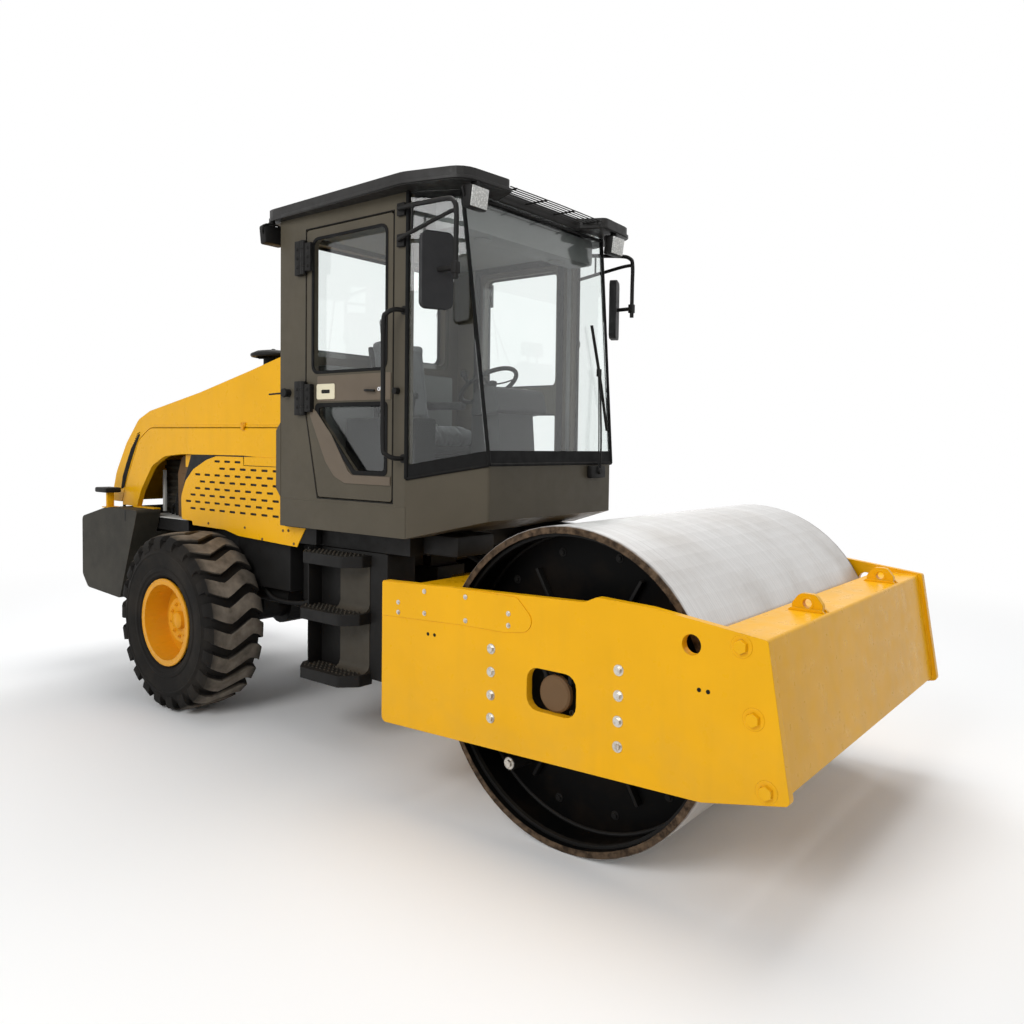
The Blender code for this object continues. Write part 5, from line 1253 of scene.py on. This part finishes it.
def cab_front_trim():
    """Windshield seals, wiper, visor bars, work lamps and the roof's lip and ribs."""
    seals, wiper, grille, lamps, bowls, roof = (Batch() for _ in range(6))
    left, right = glass_corner(1, 0.0), glass_corner(-1, 0.0)
    skin = Vector((0.004, 0, 0))
    up = Vector((-0.008, 0, 0.078))
    seals.strip([[left + skin, right + skin, right + skin * 1.5, left + skin * 1.5],
        [left + skin + up, right + skin + up, right + skin * 1.5 + up, left + skin * 1.5 + up]])
    seals.tube([left + skin, (left + right) / 2 + skin, right + skin], 0.009, 8, 3)
    top_left, top_right = glass_corner(1, 0.985), glass_corner(-1, 0.985)
    seals.tube([top_left + skin, (top_left + top_right) / 2 + skin, top_right + skin], 0.009, 8, 3)
    # wiper motor, arm and blade
    wiper.box((-0.832, 0.34, 1.655), (-0.792, 0.5, 1.735), 0.012)
    wiper.rod((-0.8, 0.42, 1.7), (-0.775, 0.42, 1.7), 0.022, 0.018, 16)
    wiper.tube([(-0.782, 0.42, 1.7), (-0.8, 0.45, 1.9), (-0.835, 0.49, 2.15), (-0.862, 0.515, 2.33)], 0.006,
        8)
    wiper.tube([(-0.782, 0.4, 1.7), (-0.8, 0.425, 1.9), (-0.835, 0.47, 2.15), (-0.862, 0.5, 2.33)], 0.004,
        8)
    wiper.box((-0.872, 0.49, 2.31), (-0.852, 0.525, 2.36), 0.004)
    wiper.tube([(-0.836, 0.575, 1.96), (-0.862, 0.525, 2.3), (-0.897, 0.47, 2.64)], 0.0075, 8, 4)
    wiper.tube([(-0.842, 0.572, 1.96), (-0.87, 0.521, 2.3), (-0.905, 0.466, 2.64)], 0.004, 6, 4)
    # visor: thin bars and cross ribs between the roof's ears
    for k in range(6):
        grille.tube([(-0.965 + 0.027 * k, -0.46, 3.292), (-0.965 + 0.027 * k, 0, 3.296),
            (-0.965 + 0.027 * k, 0.46, 3.292)], 0.0035, 6, 2)
    for y in (-0.42, -0.14, 0.14, 0.42):
        grille.box((-0.975, y - 0.004, 3.283), (-0.815, y + 0.004, 3.292), 0.001)
    for x, y, facing in ((-0.845, -0.735, 1), (-0.838, 0.62, 1), (-2.475, -0.845, -1), (-2.475, 0.845, -1)):
        turn = Matrix.Rotation(math.radians(8 * facing), 4, "Y")
        bowls.box((x - 0.03, y - 0.072, 3.105), (x + 0.03, y + 0.072, 3.225), 0.014, turn)
        lamps.box((x + facing * 0.026, y - 0.064, 3.112), (x + facing * 0.036, y + 0.064, 3.218), 0.004,
            turn)
        bowls.box((x - 0.022, y - 0.012, 3.215), (x + 0.022, y + 0.012, ROOF_Z + 0.002), 0.003)
        bowls.tube([(x - facing * 0.01, y - 0.075, 3.165), (x - facing * 0.02, y - 0.078, 3.215),
            (x - facing * 0.02, y, 3.235), (x - facing * 0.02, y + 0.078, 3.215),
            (x - facing * 0.01, y + 0.075, 3.165)], 0.006, 8, 3)
    # drip lip round the roof and its pressed ribs
    lip = ((-2.55, -0.868, 0.12), (-1.2, -0.938, 0.2), (-0.832, -0.838, 0.12), (-0.802, -0.47, 0.04),
        (-0.972, -0.392, 0.03))
    lip = lip + tuple((x, -y, r) for x, y, r in reversed(lip))
    inner = tuple((x + (0.02 if x < -1.5 else -0.02), y * 0.975, r) for x, y, r in lip)
    roof.fill([lip, inner], ROOF_Z + 0.006, ROOF_Z + 0.022, "XY")
    for y in (-0.45, -0.15, 0.15, 0.45):
        roof.fill([rectangle(-2.35, -1.15, y - 0.05, y + 0.05, 0.02)], ROOF_Z + 0.0695, ROOF_Z + 0.078,
            "XY")
    seals.done("windshield_seals", "rear_frame", "seal_rubber", sharp=50)
    wiper.done("wiper", "rear_frame", "black_paint", sharp=50)
    grille.done("visor_bars", "rear_frame", "black_paint", sharp=50)
    lamps.done("work_lamp_lenses", "rear_frame", "lamp_lens")
    bowls.done("work_lamp_bodies", "rear_frame", "black_paint")
    roof.done("roof_lip", "rear_frame", "roof_plastic", bevel=0.004)


def mirror(side):
    """Rounded mirror head behind a bent tube from the corner pillar, turned towards the driver."""
    head, face, arm = Batch(), Batch(), Batch()
    x, y, low, high = (-0.915, 0.955, 2.56, 2.955) if side < 0 else (-1.00, 0.895, 2.6, 3.00)
    yaw = Matrix.Rotation(math.radians(side * 25), 4, "Z")
    place = Matrix.Translation((x, side * y, 0)) @ yaw
    outline = rectangle(-0.084, 0.09, low, high, 0.035)
    head.fill([outline], -0.026, 0.022, "YZ", 6, place)
    glass = rectangle(-0.072, 0.078, low + 0.014, high - 0.014, 0.026)
    face.fill([glass], -0.0265, -0.0285, "YZ", 6, place)
    front_x = x + 0.14
    out = side * y
    post = (-1.3, side * (CAB_Y + 0.004))
    top, lower = high + 0.16, high + 0.05
    arm.tube([(*post, top + 0.04), (post[0] + 0.03, side * (CAB_Y + 0.04), top + 0.04),
        (front_x - 0.1, out * 0.985, top + 0.005), (front_x - 0.02, out, top - 0.02),
        (front_x, out, top - 0.07), (front_x, out, high - 0.05), (front_x, out, low + 0.14)], 0.0135, 10)
    arm.tube([(*post, lower - 0.02), (post[0] + 0.03, side * (CAB_Y + 0.04), lower - 0.015),
        (front_x - 0.1, out * 0.985, lower + 0.035), (front_x - 0.004, out, lower + 0.045)], 0.0115, 10)
    arm.tube([(post[0] + 0.14, side * (CAB_Y + 0.065), top + 0.03),
        (post[0] + 0.14, side * (CAB_Y + 0.065), lower)], 0.007, 8, 0)
    arm.rod((x + 0.015, out, (low + high) / 2), (front_x + 0.01, out, (low + high) / 2), 0.013, sides=12)
    arm.box((front_x - 0.02, out - 0.018, (low + high) / 2 - 0.03),
        (front_x + 0.016, out + 0.018, (low + high) / 2 + 0.03), 0.006)
    for z in (top + 0.04, lower - 0.02):
        arm.box((post[0] - 0.03, side * (CAB_Y - 0.001), z - 0.035),
            (post[0] + 0.03, side * (CAB_Y + 0.02), z + 0.035), 0.004)
    made = head.done(side_name(side, "mirror_head"), "rear_frame", "console_plastic", bevel=0.01)
    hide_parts(side_name(side, "mirror"))
    face.done(side_name(side, "mirror_glass"), "rear_frame", "mirror_face")
    arm.done(side_name(side, "mirror_arm"), "rear_frame", "black_paint", sharp=50)


# ---------------------------------------------------------------- driver's place
CLOTH_FRAMES = 20
CLOTH_PRESSURE = 4.0


def pillow(name, low, high, turn=Matrix(), swell=0.024, voxel=0.006):
    """Cloth cushion: a rounded block remeshed, blown up with the cloth solver and capped."""
    bm = bmesh.new()
    size = [high[i] - low[i] for i in range(3)]
    centre = Vector([(high[i] + low[i]) / 2 for i in range(3)])
    bmesh.ops.create_cube(bm, size=1.0, matrix=Matrix.Diagonal((*size, 1)))
    bmesh.ops.bevel(bm, geom=bm.edges[:], offset=min(size) * 0.32, segments=3, affect="EDGES", profile=0.5)
    bmesh.ops.transform(bm, matrix=Matrix.Translation(centre + Vector((AXLE_X, 0, 0))) @ turn,
        verts=bm.verts)
    mesh = bpy.data.meshes.new(name)
    bm.to_mesh(mesh)
    bm.free()
    made = bpy.data.objects.new(name, mesh)
    bpy.context.scene.collection.objects.link(made)

    def settle():
        evaluated = made.evaluated_get(bpy.context.evaluated_depsgraph_get())
        fresh = bpy.data.meshes.new_from_object(evaluated)
        made.modifiers.clear()
        made.data = fresh

    remesh = made.modifiers.new("remesh", "REMESH")
    remesh.mode = "VOXEL"
    remesh.voxel_size = voxel
    settle()
    before = [vert.co.copy() for vert in made.data.vertices]
    cloth = made.modifiers.new("cloth", "CLOTH")
    cloth.settings.use_pressure = True
    cloth.settings.uniform_pressure_force = CLOTH_PRESSURE
    cloth.settings.quality = 5
    cloth.settings.effector_weights.gravity = 0.0
    cloth.point_cache.frame_start = 1
    cloth.point_cache.frame_end = CLOTH_FRAMES
    for step in range(1, CLOTH_FRAMES + 1):
        bpy.context.scene.frame_set(step)
    settle()
    for vert, old in zip(made.data.vertices, before):
        move = vert.co - old
        if move.length > swell:
            vert.co = old + move.normalized() * swell
    bpy.context.scene.frame_set(1)
    smooth = made.modifiers.new("smooth", "SMOOTH")
    smooth.factor = 0.5
    smooth.iterations = 3
    settle()
    made.data.materials.append(FINISH["seat_fabric"])
    made.data.shade_smooth()
    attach(made, "rear_frame")
    return made


def seat():
    """Cloth cushions on a sprung base, with armrests, belt and side consoles."""
    lean = Matrix.Rotation(math.radians(-8), 4, "Y")
    cushion = pillow("seat_cushion", (-2.14, -0.235, 1.85), (-1.68, 0.235, 1.955))
    back = pillow("seat_back", (-2.215, -0.215, 1.985), (-2.12, 0.215, 2.56), lean)
    pillow("seat_headrest", (-2.27, -0.125, 2.6), (-2.2, 0.125, 2.72), lean, 0.014)
    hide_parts("seat")
    trim, shell, belt = Batch(), Batch(), Batch()
    # piping and sewn channels
    for y in (-0.235, 0.235):
        trim.tube([(-2.12, y, 1.905), (-1.9, y * 1.05, 1.91), (-1.7, y * 1.02, 1.905)], 0.006, 8)
    for x in (-1.82, -1.96):
        trim.tube([(x, -0.215, 1.945), (x, -0.1, 1.972), (x, 0.1, 1.972), (x, 0.215, 1.945)], 0.0045, 6)
    for z in (2.12, 2.28, 2.44):
        shift = (z - 1.985) * -0.14
        trim.tube([(-2.112 + shift + 0.02, -0.19, z), (-2.096 + shift + 0.03, -0.08, z),
            (-2.096 + shift + 0.03, 0.08, z), (-2.112 + shift + 0.02, 0.19, z)], 0.0045, 6)
    shell.box((-2.09, -0.2, 1.52), (-1.78, 0.2, 1.6), 0.015)
    for k in range(7):
        shell.box((-2.08 + 0.004 * (k % 2), -0.18 + 0.012 * (k % 2), 1.605 + k * 0.026),
            (-1.79 - 0.004 * (k % 2), 0.18 - 0.012 * (k % 2), 1.63 + k * 0.026), 0.01)
    shell.box((-2.15, -0.23, 1.79), (-1.69, 0.23, 1.845), 0.02)
    shell.box((-2.255, -0.2, 1.95), (-2.225, 0.2, 2.52), 0.014, lean)
    for y in (-0.06, 0.06):
        shell.rod((-2.225, y, 2.54), (-2.238, y, 2.64), 0.007, sides=10)
    for side in SIDES:
        shell.rod((-2.17, side * 0.275, 2.13), (-2.15, side * 0.235, 2.13), 0.028, sides=16)
        shell.box((-2.17, side * 0.255, 2.1), (-1.84, side * 0.315, 2.155), 0.018)
        shell.box((-2.17, side * 0.31, 1.52), (-1.52, side * 0.5, 2.02 if side < 0 else 1.96), 0.03)
        shell.rod((-1.66, side * 0.4, 2.0), (-1.63, side * 0.4, 2.14), 0.01, sides=12)
        shell.lathe([(0.0, 0.045), (0.02, 0.036), (0.026, 0.018), (0.02, 0.0), (0.0, -0.004)],
            (-1.628, side * 0.4, 2.135), "Z", 18)
    belt.tube([(-2.13, -0.235, 1.93), (-2.02, -0.19, 1.985), (-1.95, -0.05, 1.992), (-1.96, 0.1, 1.99),
        (-2.05, 0.21, 1.975), (-2.13, 0.24, 1.93)], 0.02, 8, 6, 0.12)
    trim.done("seat_piping", "rear_frame", "seal_rubber", sharp=70)
    shell.done("seat_base", "rear_frame", "console_plastic")
    belt.done("seat_belt", "rear_frame", "pale_trim", sharp=70)


def console():
    """Dashboard column with wheel, pods and pedals; floor mat; header; rear shelf."""
    body, rim, floor, header, dials = (Batch() for _ in range(5))
    body.fill([((-1.36, 1.502), (-1.1, 1.502), (-1.15, 2.1, 0.05), (-1.3, 2.13, 0.03),
        (-1.36, 2.03, 0.03))], -0.17, 0.17)
    body.fill([((-1.31, 2.03, 0.02), (-1.08, 2.06, 0.03), (-1.12, 2.22, 0.05), (-1.27, 2.19, 0.03))], -0.24,
        0.24)
    axis = Vector((-math.sin(math.radians(33)), 0, math.cos(math.radians(33))))
    hub = Vector((-1.37, 0, 2.235))
    body.rod(hub - axis * 0.22, hub - axis * 0.01, 0.03, 0.024, 18)
    rim.ring(hub, axis, 0.19, 0.0145, 48, 10)
    rim.lathe([(0.0, 0.012), (0.045, 0.01), (0.055, 0.0), (0.045, -0.016), (0.0, -0.016)], hub, axis, 28)
    across = Vector((0, 1, 0))
    for turn in (90, 210, 330):
        a = math.radians(turn)
        reach = across * math.cos(a) + axis.cross(across) * math.sin(a)
        rim.tube([hub + reach * 0.03, hub + reach * 0.11 - axis * 0.006, hub + reach * 0.188], 0.01, 8, 4,
            0.5)
    knob = hub - across * 0.19
    rim.rod(knob, knob + axis * 0.055, 0.012, sides=12)
    rim.lathe([(0.0, 0.028), (0.018, 0.022), (0.024, 0.0), (0.018, -0.018), (0.0, -0.022)],
        knob + axis * 0.07, axis, 18)
    for y in (-0.13, 0.0, 0.13):
        dials.lathe([(0.0, 0.003), (0.04, 0.003), (0.044, 0.0), (0.0, 0.0)], (-1.215, y, 2.207),
            (-0.14, 0, 0.99), 24)
    for y in (-0.3, -0.21, 0.3):
        body.box((-1.3, y - 0.04, 1.55), (-1.2, y + 0.04, 1.575), 0.006,
            Matrix.Rotation(math.radians(-35), 4, "Y"))
        body.rod((-1.22, y, 1.57), (-1.15, y, 1.6), 0.01, sides=8)
    floor.fill([((-2.33, -0.74, 0.02), (-1.3, -0.74, 0.02), (-0.92, -0.57, 0.02), (-0.92, 0.57, 0.02),
        (-1.3, 0.74, 0.02), (-2.33, 0.74, 0.02))], 1.5005, 1.512, "XY")
    for k in range(18):
        floor.box((-2.3 + 0.055 * k, -0.7, 1.5115), (-2.28 + 0.055 * k, 0.7, 1.516), 0.002)
    header.box((-1.22, -0.66, 3.06), (-1.03, 0.66, 3.235), 0.03)
    header.box((-2.33, -0.74, 3.17), (-1.23, 0.74, 3.245), 0.03)
    header.box((-2.33, -0.6, 1.53), (-2.24, 0.6, 2.36), 0.02)
    for y in (-0.36, 0.36):
        header.lathe([(0.0, 0.0), (0.045, 0.0), (0.052, -0.01), (0.04, -0.016), (0.0, -0.016)],
            (-1.125, y, 3.062), "Z", 22)
    for side in SIDES:
        header.box((-1.34, side * 0.62, 1.515), (-0.98, side * 0.54, 1.7), 0.02)
        header.tube([(-1.3, side * 0.775, 1.66), (-1.3, side * 0.775, 3.2)], 0.02, 10, 0)
    body.done("dashboard", "rear_frame", "console_plastic", bevel=0.006)
    made = rim.done("steering_wheel", "rear_frame", "seal_rubber", sharp=50)
    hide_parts("steering_console")
    floor.done("floor_mat", "rear_frame", "hose_rubber")
    header.done("cab_lining", "rear_frame", "lining_grey")
    dials.done("dials", "rear_frame", "pale_trim")
    rear = Batch()
    rear.tube([(-2.425, 0.0, 2.47), (-2.432, 0.1, 2.6), (-2.432, 0.26, 2.86)], 0.006, 8)
    rear.tube([(-2.436, 0.2, 2.56), (-2.438, 0.26, 2.86), (-2.436, 0.32, 3.08)], 0.006, 8)
    rear.fill([rectangle(-0.65, 0.65, 2.42, 3.18, 0.06), rectangle(-0.6, 0.6, 2.47, 3.13, 0.05)], -2.4105,
        -2.4155, "YZ")
    rear.done("rear_window_seal", "rear_frame", "seal_rubber", sharp=50)


FINISH = make_finishes()
dress_cad()
make_camera()
make_world()
make_floor()
for lamp in LAMPS:
    area_light(*lamp)
bpy.context.scene.view_settings.view_transform = "Standard"

yoke_trim()
yoke_welds()
carrier_trim()
drum_trim()
for wheel_side in SIDES:
    wheel_trim(wheel_side)
    step_tower(wheel_side)
    door_trim(wheel_side)
    cab_body_trim(wheel_side)
    mirror(wheel_side)
perforated_panels()
hood_trim()
engine_bay()
counterweight_trim()
underbody()
cab_front_trim()
seat()
console()
